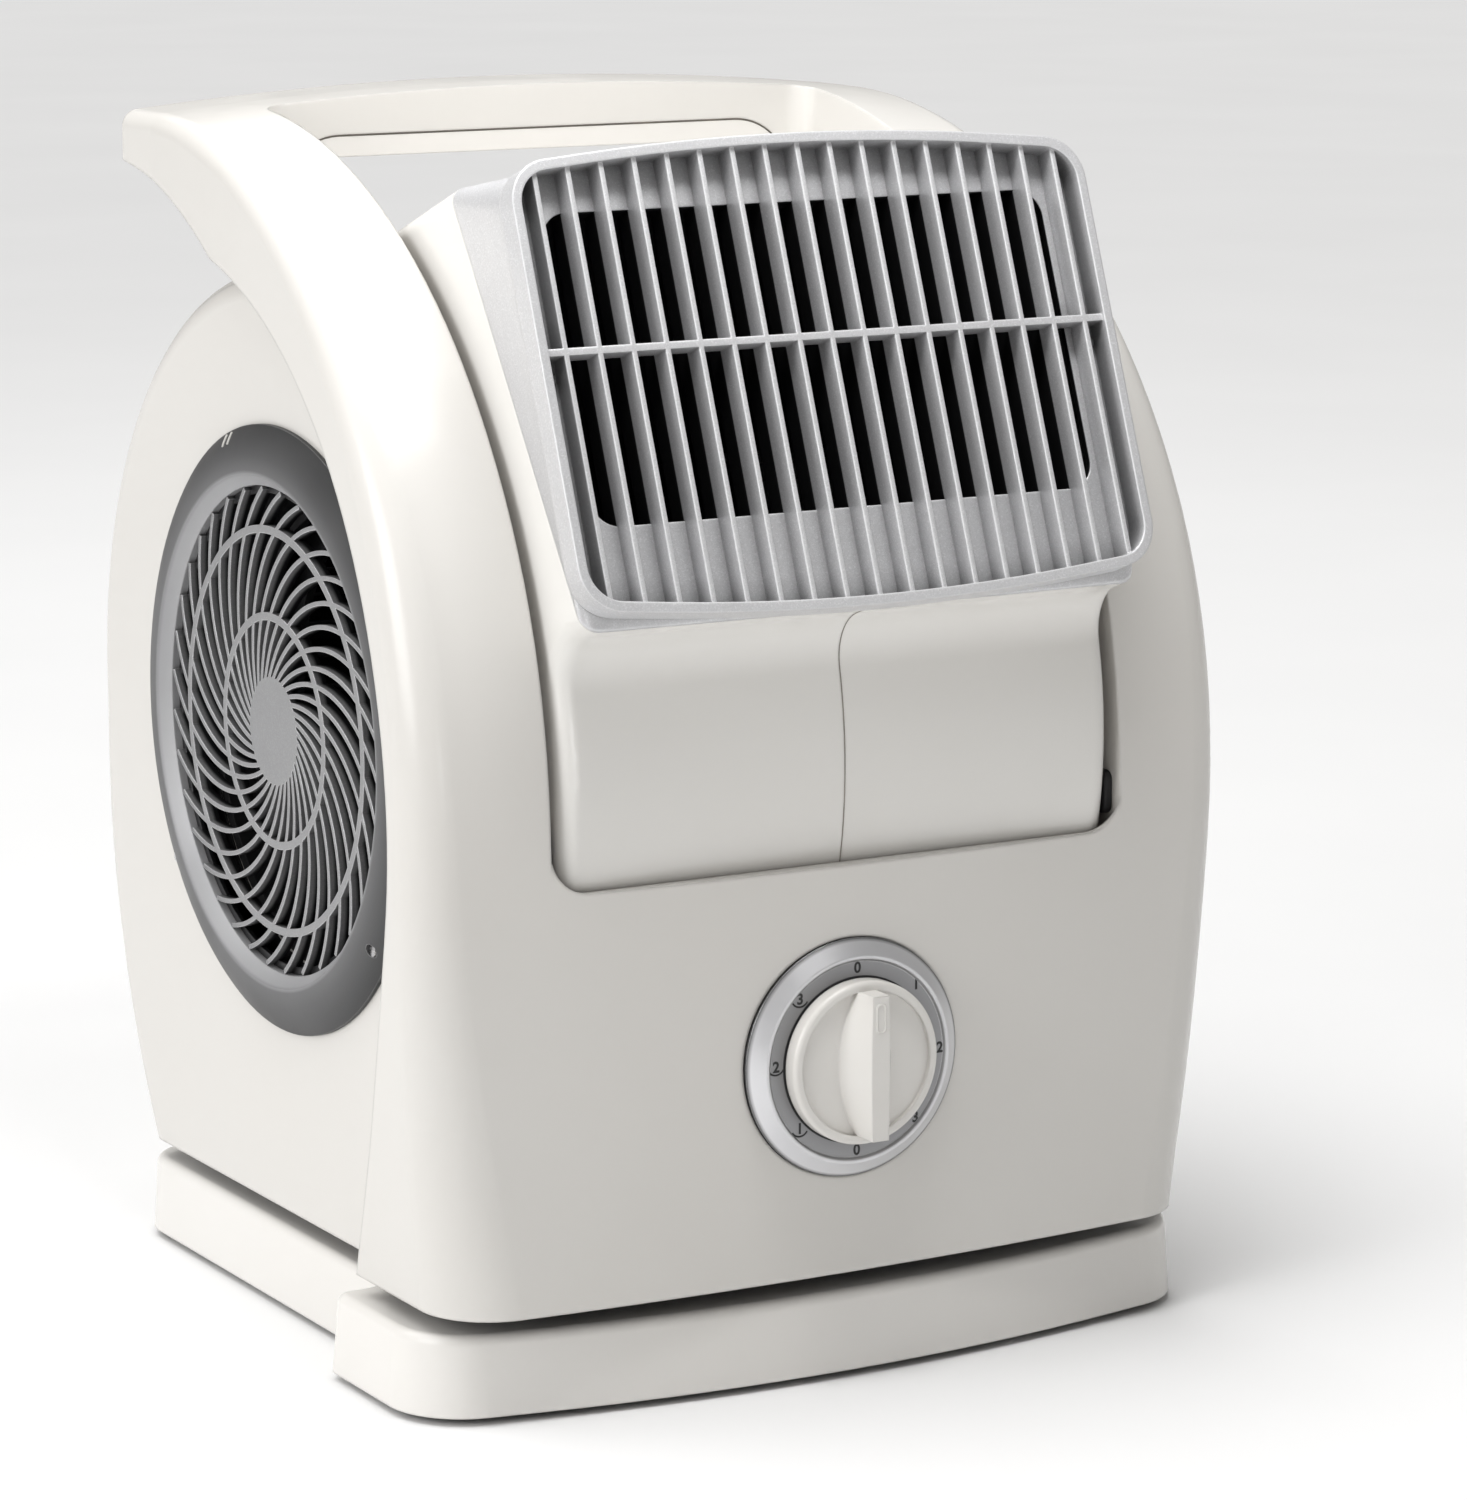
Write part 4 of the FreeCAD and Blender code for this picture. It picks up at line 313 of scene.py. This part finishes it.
def behind_vane_fronts(tree, place):
    """A mask of what lies behind the front edges of the intake grilles, on either side of the fan, where
    black is painted as shade.
    """
    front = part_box("right_intake_grille")[1][0]
    shade_starts = 1.4 * MM
    shade_full = 2.6 * MM
    across = vector_math(tree, "DOT_PRODUCT", place, (1.0, 0.0, 0.0), result="Value")
    sideways = calculate(tree, "ABSOLUTE", across)
    return map_range(tree, sideways, front - shade_starts, front - shade_full)


def ring_paint(name, centre, plane, tones, worn, metallic, roughness):
    """Lacquer on a ring, whose grey changes with the radius. The plane has a 1 for each axis that the ring
    lies along, the tones are (radius, grey) pairs from the inside out, and worn is the grey of its edges."""
    material, tree, shader = new_material(name)
    place = object_place(tree)
    normal = rounded_normal(tree, RING_ROUNDING)

    from_centre = vector_math(tree, "SUBTRACT", place, centre)
    flat = vector_math(tree, "MULTIPLY", from_centre, plane)
    radius = vector_math(tree, "LENGTH", flat, result="Value")
    first = tones[0][0]
    last = tones[-1][0]
    share = map_range(tree, radius, first * MM, last * MM)
    # Some greys by radius are painted light: in part a painted highlight on the rims' inner slope, and
    # painted shadow at the dial ring's foot
    stops = [((reach - first) / (last - first), shade(RING_GREY, level)) for reach, level in tones]
    clouds = noise(tree, place, scale=30.0, detail=4.0)
    tone = clouded(tree, ramp(tree, share, stops), clouds, dullest=0.93)
    tone = mix(tree, edge_mask(tree, normal), tone, shade(RING_GREY, worn))

    gloss = between(tree, clouds, roughness - 0.05, roughness + 0.07)
    skin = lacquer_grain(tree, place, normal)
    plug(tree, shader, {"Base Color": tone, "Roughness": gloss, "Normal": skin, "Metallic": metallic,
                        "Specular IOR Level": 0.3})
    return material


def matt(name, colour, roughness, grain, strength):
    """Grained plastic, rubber or paint without a shine, with dust on it. The grain has a scale and a
    strength."""
    material, tree, shader = new_material(name)
    place = object_place(tree)
    dust = noise(tree, place, scale=55.0, detail=6.0, distortion=0.4)
    dusty = shade(colour, 1.9, warm=0.03)
    tone = ramp(tree, dust, [(0.35, shade(colour, 0.85)), (0.6, shade(colour, 1.1)), (0.8, dusty)])
    gloss = between(tree, dust, roughness - 0.06, roughness + 0.10)
    bumps = noise(tree, place, scale=grain, detail=3.0)
    skin = relief(tree, bumps, rounded_normal(tree, MATT_ROUNDING), strength, depth=0.4)
    plug(tree, shader, {"Base Color": tone, "Roughness": gloss, "Normal": skin})
    return material


def brushed_metal(name, colour, roughness, stretch):
    """Bare or plated metal, brushed along one direction, a little dulled in patches."""
    material, tree, shader = new_material(name)
    lines = noise(tree, object_place(tree, stretch), scale=500.0, detail=4.0)
    patches = noise(tree, object_place(tree), scale=70.0, detail=4.0, distortion=0.5)
    dulled = shade(colour, 0.78, warm=0.01)
    tone = ramp(tree, patches, [(0.3, dulled), (0.6, shade(colour, 1.0)), (0.8, shade(colour, 1.1))])
    gloss = between(tree, lines, roughness - 0.07, roughness + 0.12)
    skin = relief(tree, lines, rounded_normal(tree, METAL_ROUNDING), strength=0.12, depth=0.2)
    plug(tree, shader, {"Base Color": tone, "Roughness": gloss, "Normal": skin, "Metallic": 1.0})
    return material


# Greys by radius in millimetres: the rims are silver on their inner slope, partly as a painted highlight, and
# darker outwards, and the dial's ring has a dull face, a polished bevel and a foot darkened as painted
# shadow.
RIM_TONES = ((78.0, 0.42), (82.0, 0.36), (84.0, 0.14), (89.0, 0.10), (98.0, 0.05))
BEZEL_TONES = ((26.0, 0.26), (31.4, 0.32), (32.4, 0.70), (36.8, 0.74), (37.5, 0.40), (37.9, 0.05))

LOOKS = {}


def look(slot, make, **values):
    """Makes the material of one of the record's slots."""
    LOOKS[slot] = make(slot, **values)


# The whites differ in grey as painted light: the drum, base and grip are lighter than the shell, for the
# stronger light that falls on them
look("shell_white", moulded, colour=(0.66, 0.643, 0.613), roughness=0.235, rounding=1.6)
look("grip_white", moulded, colour=(0.72, 0.702, 0.672), roughness=0.24, rounding=0.8)
look("base_white", moulded, colour=(0.76, 0.742, 0.712), roughness=0.24, rounding=1.2)
look("drum_white", moulded, colour=(0.77, 0.756, 0.726), roughness=0.225, rounding=1.2)
look("knob_white", moulded, colour=(0.71, 0.693, 0.663), roughness=0.235, rounding=0.9)
look("slide_white", moulded, colour=(0.62, 0.61, 0.58), roughness=0.42, rounding=0.7)
look("nozzle_silver", silver_paint, colour=(0.66, 0.66, 0.67), roughness=0.35, metallic=0.35, rounding=1.0,
     bright_edge=1.3, bare=behind_plate)
look("grille_silver", silver_paint, colour=(0.31, 0.31, 0.315), roughness=0.34, metallic=0.45, rounding=0.6,
     bright_edge=2.2, bare=behind_vane_fronts)
look("rim_grey", ring_paint, centre=FAN, plane=(0.0, 1.0, 1.0), tones=RIM_TONES, worn=0.30,
     metallic=0.25, roughness=0.43)
look("bezel_silver", ring_paint, centre=DIAL, plane=(1.0, 0.0, 1.0), tones=BEZEL_TONES, worn=0.8,
     metallic=0.7, roughness=0.34)
look("inner_black", matt, colour=BLACK, roughness=0.55, grain=900.0, strength=0.15)
look("wheel_black", matt, colour=(0.018, 0.018, 0.019), roughness=0.42, grain=700.0, strength=0.10)
look("foot_rubber", matt, colour=(0.020, 0.020, 0.020), roughness=0.78, grain=1400.0, strength=0.35)
look("gland_rubber", matt, colour=(0.024, 0.024, 0.024), roughness=0.70, grain=1200.0, strength=0.30)
look("motor_steel", matt, colour=(0.030, 0.030, 0.033), roughness=0.40, grain=400.0, strength=0.12)
look("steel", brushed_metal, colour=(0.62, 0.62, 0.63), roughness=0.28, stretch=(1.0, 1.0, 8.0))
look("bracket_steel", brushed_metal, colour=(0.48, 0.48, 0.49), roughness=0.38, stretch=(8.0, 1.0, 1.0))
look("bearing_bronze", brushed_metal, colour=(0.60, 0.42, 0.20), roughness=0.36, stretch=(1.0, 6.0, 1.0))

for entry in frame["record"]["subparts"]:
    for holder in frame["nodes"][entry["node"]].material_slots:
        holder.material = LOOKS[entry["material_slot"]]

SEAM = matt("seam_shadow", (0.26, 0.24, 0.21), roughness=0.7, grain=900.0, strength=0.1)
LINE = matt("grip_line", (0.10, 0.09, 0.075), roughness=0.7, grain=900.0, strength=0.1)
# Ink for the dial's print, also the colour of the painted shadow ring round the knob
INK_AND_SHADOW = matt("dial_ink_and_gap_shadow", (0.014, 0.014, 0.015), roughness=0.5, grain=1500.0, strength=0.1)


# How pieces are made

SHARP_ANGLE = math.radians(35.0)
LATHE_STEPS = 96
CORNER_STEPS = 6
# A direction that no bead runs along
ASKEW = (0.31, 0.57, 0.76)
FRONT_TO_BACK = (0.0, 1.0, 0.0)


def finish_piece(name, shape, body, material):
    """Makes an object of a bmesh, shades it smooth between its sharp edges and lets it ride on a body."""
    bmesh.ops.recalc_face_normals(shape, faces=shape.faces[:])
    mesh = bpy.data.meshes.new(name)
    shape.to_mesh(mesh)
    shape.free()
    mesh.polygons.foreach_set("use_smooth", [True] * len(mesh.polygons))
    mesh.set_sharp_from_angle(angle=SHARP_ANGLE)
    mesh.materials.append(material)
    piece = bpy.data.objects.new(name, mesh)
    bpy.context.scene.collection.objects.link(piece)
    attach(piece, body)
    return piece


def add_rows(shape, rows, closed_along, closed_across):
    """Skins rows of points with quads."""
    made = [[shape.verts.new(point) for point in row] for row in rows]
    count = len(made)
    width = len(made[0])
    for i in range(count if closed_along else count - 1):
        for j in range(width if closed_across else width - 1):
            here = made[i]
            following = made[(i + 1) % count]
            beside = (j + 1) % width
            shape.faces.new((here[j], here[beside], following[beside], following[j]))
    return made


def close_ends(shape, made):
    shape.faces.new(made[0])
    shape.faces.new(list(reversed(made[-1])))


def add_bead(shape, points, radius, closed=False, sides=8, flat=1.0, normal=ASKEW):
    """A round or flattened bead along a line of points. The normal is the way that flattening squeezes it."""
    rows = []
    count = len(points)
    for i, point in enumerate(points):
        before = points[i - 1] if i > 0 or closed else point
        after = points[(i + 1) % count] if i < count - 1 or closed else point
        along = (after - before).normalized()
        side = along.cross(Vector(normal)).normalized()
        up = side.cross(along).normalized()
        row = []
        for turn in spaced(0.0, 360.0, sides)[:-1]:
            aside, above = polar(radius * MM, turn)
            row.append(point + side * aside + up * (above * flat))
        rows.append(row)
    made = add_rows(shape, rows, closed, True)
    if not closed:
        close_ends(shape, made)


def lathe(shape, profile, centre, axis):
    """Turns a closed section of (along, radius) pairs round an axis through the centre."""
    axis = Vector(axis)
    first = Vector((0.0, 0.0, 1.0))
    second = axis.cross(first)
    rows = []
    for turn in spaced(0.0, 360.0, LATHE_STEPS)[:-1]:
        upward, sideways = polar(1.0, turn)
        out = first * upward + second * sideways
        rows.append([centre + axis * (along * MM) + out * (radius * MM) for along, radius in profile])
    add_rows(shape, rows, True, True)


def rounded_slot(half_width, half_height, corner):
    """The outline of a slot with rounded corners, as pairs of distances from its middle."""
    outline = []
    for side, end, start in ((1, 1, 0.0), (-1, 1, 90.0), (-1, -1, 180.0), (1, -1, 270.0)):
        for degrees in spaced(start, start + 90.0, CORNER_STEPS):
            across, up = polar(corner, degrees)
            outline.append((side * (half_width - corner) + across, end * (half_height - corner) + up))
    return outline


# Black linings, which are painted shade inside the drum and round its intakes

def duct_section():
    """The inside of drum and duct in side view as (along, upward) pairs, a little clear of the walls."""
    gap = 0.4
    inside = DRUM_RADIUS - DRUM_WALL - gap
    floor = -DUCT_FLOOR + DRUM_WALL + gap
    mouth = LIP_BACK - 3.2
    mouth_top = 127.0
    mouth_bottom = 2.0
    roof_start = 60.0
    roof_end = 133.0
    floor_end = 154.0
    barrel_top = 90.0
    barrel_front = 358.0
    section = [(mouth, mouth_top), (roof_end, inside), (roof_start, inside)]
    section += [polar(inside, degrees) for degrees in spaced(barrel_top, barrel_front, 60)]
    section += [(floor_end, floor), (mouth, mouth_bottom)]
    return section


def build_duct_shade_sheet():
    """The lining of the duct, a black sheet of painted shade from the barrel of the drum to the plate behind
    the vanes. Its sides are open where the wheels draw air in."""
    half = 95.5
    inlet = 70.5
    inlet_points = 48
    thickness = 0.3
    shape = bmesh.new()
    section = duct_section()
    rows = [[in_duct(x, along, upward) for along, upward in section] for x in (-half, half)]
    made = add_rows(shape, rows, False, False)
    for across, row in ((-half, made[0]), (half, made[1])):
        rim = [shape.edges.get((row[i], row[i + 1])) for i in range(len(row) - 1)]
        rim.append(shape.edges.new((row[-1], row[0])))
        turns = spaced(0.0, 360.0, inlet_points)[:-1]
        hole = [shape.verts.new(round_fan(inlet, degrees, across)) for degrees in turns]
        for i, corner in enumerate(hole):
            rim.append(shape.edges.new((corner, hole[(i + 1) % len(hole)])))
        bmesh.ops.triangle_fill(shape, edges=rim, use_beauty=True)
    piece = finish_piece("duct_shade_sheet", shape, "drum", LOOKS["inner_black"])
    skin = piece.modifiers.new("thickness", "SOLIDIFY")
    skin.thickness = thickness * MM
    skin.offset = 0.0


def collar_section():
    """A sleeve in a collar of the drum: a flange over the collar's end, the bore, and a step to the inlet.
    The points run along its outside and back along its inside."""
    skin = 0.4
    flange = 110.8
    flange_front = 111.1
    flange_radius = 79.6
    bore = 75.7
    step = 98.8
    inlet = 69.6
    root = 95.8
    outside = [(flange, flange_radius), (flange, bore), (step, bore), (step, inlet), (root, inlet)]
    inside = [(root, inlet - skin), (step + skin, inlet - skin), (step + skin, bore - skin),
              (flange_front, bore - skin), (flange_front, flange_radius)]
    return outside + inside


def shield_section():
    """A shield against the inner wall round a collar, folded over at its rim, with a sleeve that goes
    outward and a lip at the sleeve's end. The points run along its inside and back along its outside."""
    skin = 0.4
    wall = 102.8
    wall_back = 102.6
    reach = 118.0
    bore = 85.8
    lip = 110.8
    lip_bore = 80.8
    inside = [(wall, bore), (wall, reach), (wall + skin, reach), (wall + skin, bore + skin),
              (lip, bore + skin), (lip, lip_bore)]
    outside = [(lip + skin, lip_bore), (lip + skin, bore + 2 * skin), (wall + 2 * skin, bore + 2 * skin),
               (wall + 2 * skin, reach + skin), (wall_back, reach + skin), (wall_back, bore)]
    return inside + outside


def build_intake_shade_sheets():
    """Black sleeves in the collars of the drum, and black shields on the inner walls round them: painted
    shade.
    """
    for name, side in SIDES:
        for part, section, body in (("collar_shade_sleeve", collar_section(), "drum"),
                                    ("intake_shade_shield", shield_section(), "housing")):
            shape = bmesh.new()
            lathe(shape, section, FAN, (side, 0.0, 0.0))
            finish_piece(f"{name}_{part}", shape, body, LOOKS["inner_black"])


# Seams

def build_drum_seam():
    """The parting line between the drum's halves, down its front and over its top."""
    bead = 0.2
    front_start = LIP_BACK - 3.5
    clear_of_fillet = 0.8
    front_end = -32.0
    roof_end = 132.0
    back_start = 113.0
    back_end = 200.0
    shape = bmesh.new()
    root = math.sqrt((DRUM_FRONT_RADIUS + DUCT_FILLET) ** 2 - (DUCT_FLOOR + DUCT_FILLET) ** 2)
    dip = math.degrees(math.atan2(DUCT_FLOOR + DUCT_FILLET, root))
    front = [in_duct(0.0, front_start, -DUCT_FLOOR)]
    for degrees in spaced(90.0, 180.0 - dip, 14):
        ahead, above = polar(DUCT_FILLET, degrees)
        front.append(in_duct(0.0, root + ahead, -DUCT_FLOOR - DUCT_FILLET + above))
    below_fillet = math.degrees(LEAN) - dip - clear_of_fillet
    front += [round_fan(DRUM_FRONT_RADIUS, degrees) for degrees in spaced(below_fillet, front_end, 40)]
    top = [in_duct(0.0, roof_end, DRUM_RADIUS), in_duct(0.0, 0.0, DRUM_RADIUS)]
    top += [round_fan(DRUM_RADIUS, degrees) for degrees in spaced(back_start, back_end, 50)]
    for line in (front, top):
        add_bead(shape, line, bead, sides=6)
    finish_piece("drum_seam", shape, "drum", SEAM)


def build_grip_line():
    """The joint between handle and grip: across the front face, and down round its corners."""
    bead = 0.3
    front = 63.0
    top = 378.7
    corner = 22.0
    half = 96.5
    low = 366.0
    shape = bmesh.new()
    last = math.degrees(math.asin((low - top + corner) / corner))
    line = []
    for side, angles in ((-1.0, spaced(last, 90.0, 10)), (1.0, spaced(90.0, last, 10))):
        for degrees in angles:
            aside, above = polar(corner, degrees)
            line.append(at(side * (half - corner + aside), front, top - corner + above))
    add_bead(shape, line, bead, sides=6)
    finish_piece("grip_line", shape, "housing", LINE)


# Dial

# The flat face of the dial's ring lies a little behind its crest
DIAL_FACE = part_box("dial_bezel")[0][1] + 0.8 * MM
LETTER_HEIGHT = 4.8
LETTER_DEPTH = 0.03
LETTER_SPREAD = 0.15


def add_word(shape, word, place):
    """Flat print: a word as thin letters, centred, its place a matrix."""
    curve = bpy.data.curves.new("word", "FONT")
    curve.body = word
    curve.size = LETTER_HEIGHT * MM
    curve.align_x = "CENTER"
    curve.align_y = "CENTER"
    curve.extrude = LETTER_DEPTH * MM
    curve.offset = LETTER_SPREAD * MM
    holder = bpy.data.objects.new("word", curve)
    bpy.context.scene.collection.objects.link(holder)
    bpy.context.view_layer.update()
    mesh = holder.to_mesh()
    mesh.transform(place)
    shape.from_mesh(mesh)
    holder.to_mesh_clear()
    bpy.data.objects.remove(holder)
    bpy.data.curves.remove(curve)


def add_swing_mark(shape, x, z):
    """A small bow under a number."""
    bead = 0.3
    half_width = 2.9
    drop = 2.6
    lift = 0.2
    line = []
    for degrees in spaced(205.0, 335.0, 12):
        aside, above = polar(1.0, degrees)
        line.append(Vector((x + half_width * MM * aside, DIAL_FACE, z + (lift + drop * above) * MM)))
    add_bead(shape, line, bead, sides=6, flat=0.3, normal=FRONT_TO_BACK)


def build_dial_print():
    """Speeds 0 to 3 on the right, and the same with a swing mark on the left. The numbers on the right stand
    further out, where the knob hides less of them."""
    radius_right = 30.2
    radius_elsewhere = 29.1
    swing_lift = 0.9
    words = ("0", "1", "2", "3") * 2
    shape = bmesh.new()
    upright = Matrix.Rotation(math.radians(90.0), 4, "X")
    for index, word in enumerate(words):
        on_right = 0 < index < 4
        swings = index > 4
        upward, sideways = polar(radius_right if on_right else radius_elsewhere, 360.0 * index / len(words))
        x = sideways * MM
        z = DIAL.z + (upward + (swing_lift if swings else 0.0)) * MM
        place = Matrix.Translation((x, DIAL_FACE - LETTER_DEPTH * MM, z))
        add_word(shape, word, place @ upright)
        if swings:
            add_swing_mark(shape, x, z)
    finish_piece("dial_print", shape, "housing", INK_AND_SHADOW)


def build_knob_pointer():
    """The raised frame near the top of the grip bar that shows where the knob points."""
    bead = 0.4
    above_axis = 16.0
    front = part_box("dial_knob")[0][1]
    outline = rounded_slot(half_width=1.5, half_height=4.4, corner=1.2)
    shape = bmesh.new()
    line = [Vector((x * MM, front, DIAL.z + (z + above_axis) * MM)) for x, z in outline]
    add_bead(shape, line, bead, closed=True, flat=0.8, normal=FRONT_TO_BACK)
    finish_piece("knob_pointer", shape, "knob", LOOKS["knob_white"])


def build_knob_shadow_ring():
    """A dark ring of painted shadow in the gap round the knob, where it turns in the ring."""
    inner = 25.0
    outer = 26.6
    proud = -0.06
    section = [(0.0, inner), (0.0, outer), (proud, outer), (proud, inner)]
    shape = bmesh.new()
    lathe(shape, section, Vector((DIAL.x, DIAL_FACE, DIAL.z)), FRONT_TO_BACK)
    finish_piece("knob_shadow_ring", shape, "housing", INK_AND_SHADOW)


# Small fittings, and black pads of painted shade

def build_shade_pads():
    """Black pads in the gap beside the drum, at the lower corners of the window: painted shade where the
    inside is seen.
    """
    middle_y = -124.5
    middle_z = 176.0
    half_depth = 6.0
    half_height = 7.0
    corner = 3.0
    bevel = 0.6
    foot = HALF_WINDOW - 0.1
    shoulder = HALF_WINDOW - 2.2
    crown = HALF_WINDOW - 2.8
    for name, side in SIDES:
        shape = bmesh.new()
        rows = []
        for across, shrink in ((foot, 0.0), (shoulder, 0.0), (crown, bevel)):
            outline = rounded_slot(half_depth - shrink, half_height - shrink, corner)
            rows.append([at(side * across, middle_y + y, middle_z + z) for y, z in outline])
        made = add_rows(shape, rows, False, True)
        close_ends(shape, made)
        finish_piece(f"{name}_shade_pad", shape, "housing", LOOKS["inner_black"])


def build_rim_marks():
    """Two raised ticks near the top of each intake rim, which show how the rim is turned."""
    bead = 0.5
    crest_radius = 82.8
    crest_proud = 7.0
    bend = 24.9
    inner_end = 93.6
    outer_end = 97.4
    turns = (17.3, 19.7)
    for name, side in SIDES:
        shape = bmesh.new()
        for degrees in turns:
            line = []
            for radius in spaced(inner_end, outer_end, 4):
                proud = crest_proud - bend + math.sqrt(bend ** 2 - (radius - crest_radius) ** 2)
                upward, backward = polar(radius, degrees)
                line.append(FAN + at(side * (HALF_BARREL + proud), backward, upward))
            add_bead(shape, line, bead)
        finish_piece(f"{name}_rim_marks", shape, "housing", LOOKS["slide_white"])


build_duct_shade_sheet()
build_intake_shade_sheets()
build_drum_seam()
build_grip_line()
build_dial_print()
build_knob_pointer()
build_knob_shadow_ring()
build_shade_pads()
build_rim_marks()


# Stage, in metres

def build_floor():
    """A plain pale floor, with faint clouds in its colour."""
    reach = 14.0
    mesh = bpy.data.meshes.new("floor")
    corners = [(-reach, -reach, 0.0), (reach, -reach, 0.0), (reach, reach, 0.0), (-reach, reach, 0.0)]
    mesh.from_pydata(corners, [], [(0, 1, 2, 3)])
    material, tree, shader = new_material("studio_floor")
    clouds = noise(tree, object_place(tree), scale=3.0, detail=3.0)
    paper = ramp(tree, clouds, [(NOISE_LOW, grey(0.85)), (NOISE_HIGH, grey(0.87))])
    plug(tree, shader, {"Base Color": paper, "Roughness": 0.85, "Specular IOR Level": 0.1})
    mesh.materials.append(material)
    floor = bpy.data.objects.new("floor", mesh)
    bpy.context.scene.collection.objects.link(floor)


def add_light(name, kind, place, target, energy):
    data = bpy.data.lights.new(name, kind)
    data.energy = energy
    light = bpy.data.objects.new(name, data)
    light.location = place
    light.rotation_mode = "QUATERNION"
    light.rotation_quaternion = (Vector(target) - Vector(place)).to_track_quat("-Z", "Y")
    bpy.context.scene.collection.objects.link(light)
    return data


def add_soft_box(name, place, target, energy, width, height):
    data = add_light(name, "AREA", place, target, energy)
    data.shape = "RECTANGLE"
    data.size = width
    data.size_y = height


def build_lights():
    """A soft sky light, a key light on the left, soft boxes over the handle and the floor behind, and a spot
    on the drum."""
    sky = add_light("sky", "SUN", place=(-0.25, 0.25, 0.93), target=(0.0, 0.0, 0.0), energy=2.05)
    sky.angle = math.radians(60.0)
    add_soft_box("key", place=(-1.6, -0.3, 0.72), target=(0.0, 0.0, 0.2), energy=12.5, width=0.9, height=0.9)
    add_soft_box("over_floor", place=(0.45, 1.3, 1.3), target=(0.4, 1.0, 0.0), energy=3.5, width=1.2,
                 height=0.8)
    spot = add_light("on_drum", "SPOT", place=(-0.25, -1.25, 0.28), target=(0.0, -0.12, 0.225), energy=7.0)
    spot.spot_size = math.radians(13.0)
    spot.spot_blend = 1.0
    spot.shadow_soft_size = 0.12
    add_soft_box("over_handle", place=(-0.05, -0.25, 0.75), target=(0.0, 0.06, 0.38), energy=2.2, width=0.3,
                 height=0.1)


def build_world():
    """An even, slightly warm light from all round."""
    world = bpy.data.worlds.new("studio")
    world.use_nodes = True
    tree = world.node_tree
    plug(tree, tree.nodes["Background"], {"Color": (1.0, 0.985, 0.965, 1.0), "Strength": 0.27})
    bpy.context.scene.world = world


def build_camera():
    """The photograph's viewpoint: its turn, rise and distance, and the pixel where the point on the floor
    below the fan axis falls."""
    turn = math.radians(29.8)
    rise = math.radians(10.9)
    focal = 5395.0
    distance = 1.826
    image_width = 1467.0
    image_height = 1500.0
    below_axis = at(0.0, 11.25, 0.0)
    pixel_x = 619.6
    pixel_y = 1260.3
    sensor = 36.0
    back = Vector((-math.sin(turn) * math.cos(rise), -math.cos(turn) * math.cos(rise), math.sin(rise)))
    right = Vector((math.cos(turn), -math.sin(turn), 0.0))
    up = back.cross(right)
    aside = (pixel_x - image_width / 2) / focal * distance
    above = -(pixel_y - image_height / 2) / focal * distance
    data = bpy.data.cameras.new("camera")
    data.sensor_fit = "VERTICAL"
    data.sensor_width = sensor
    data.sensor_height = sensor
    data.lens = sensor * focal / image_height
    data.clip_start = 0.05
    data.clip_end = 60.0
    camera = bpy.data.objects.new("camera", data)
    camera.location = below_axis + back * distance - right * aside - up * above
    camera.rotation_mode = "QUATERNION"
    camera.rotation_quaternion = (-back).to_track_quat("-Z", "Y")
    bpy.context.scene.collection.objects.link(camera)
    bpy.context.scene.camera = camera


build_floor()
build_lights()
build_world()
build_camera()
bpy.context.scene.view_settings.view_transform = "Standard"
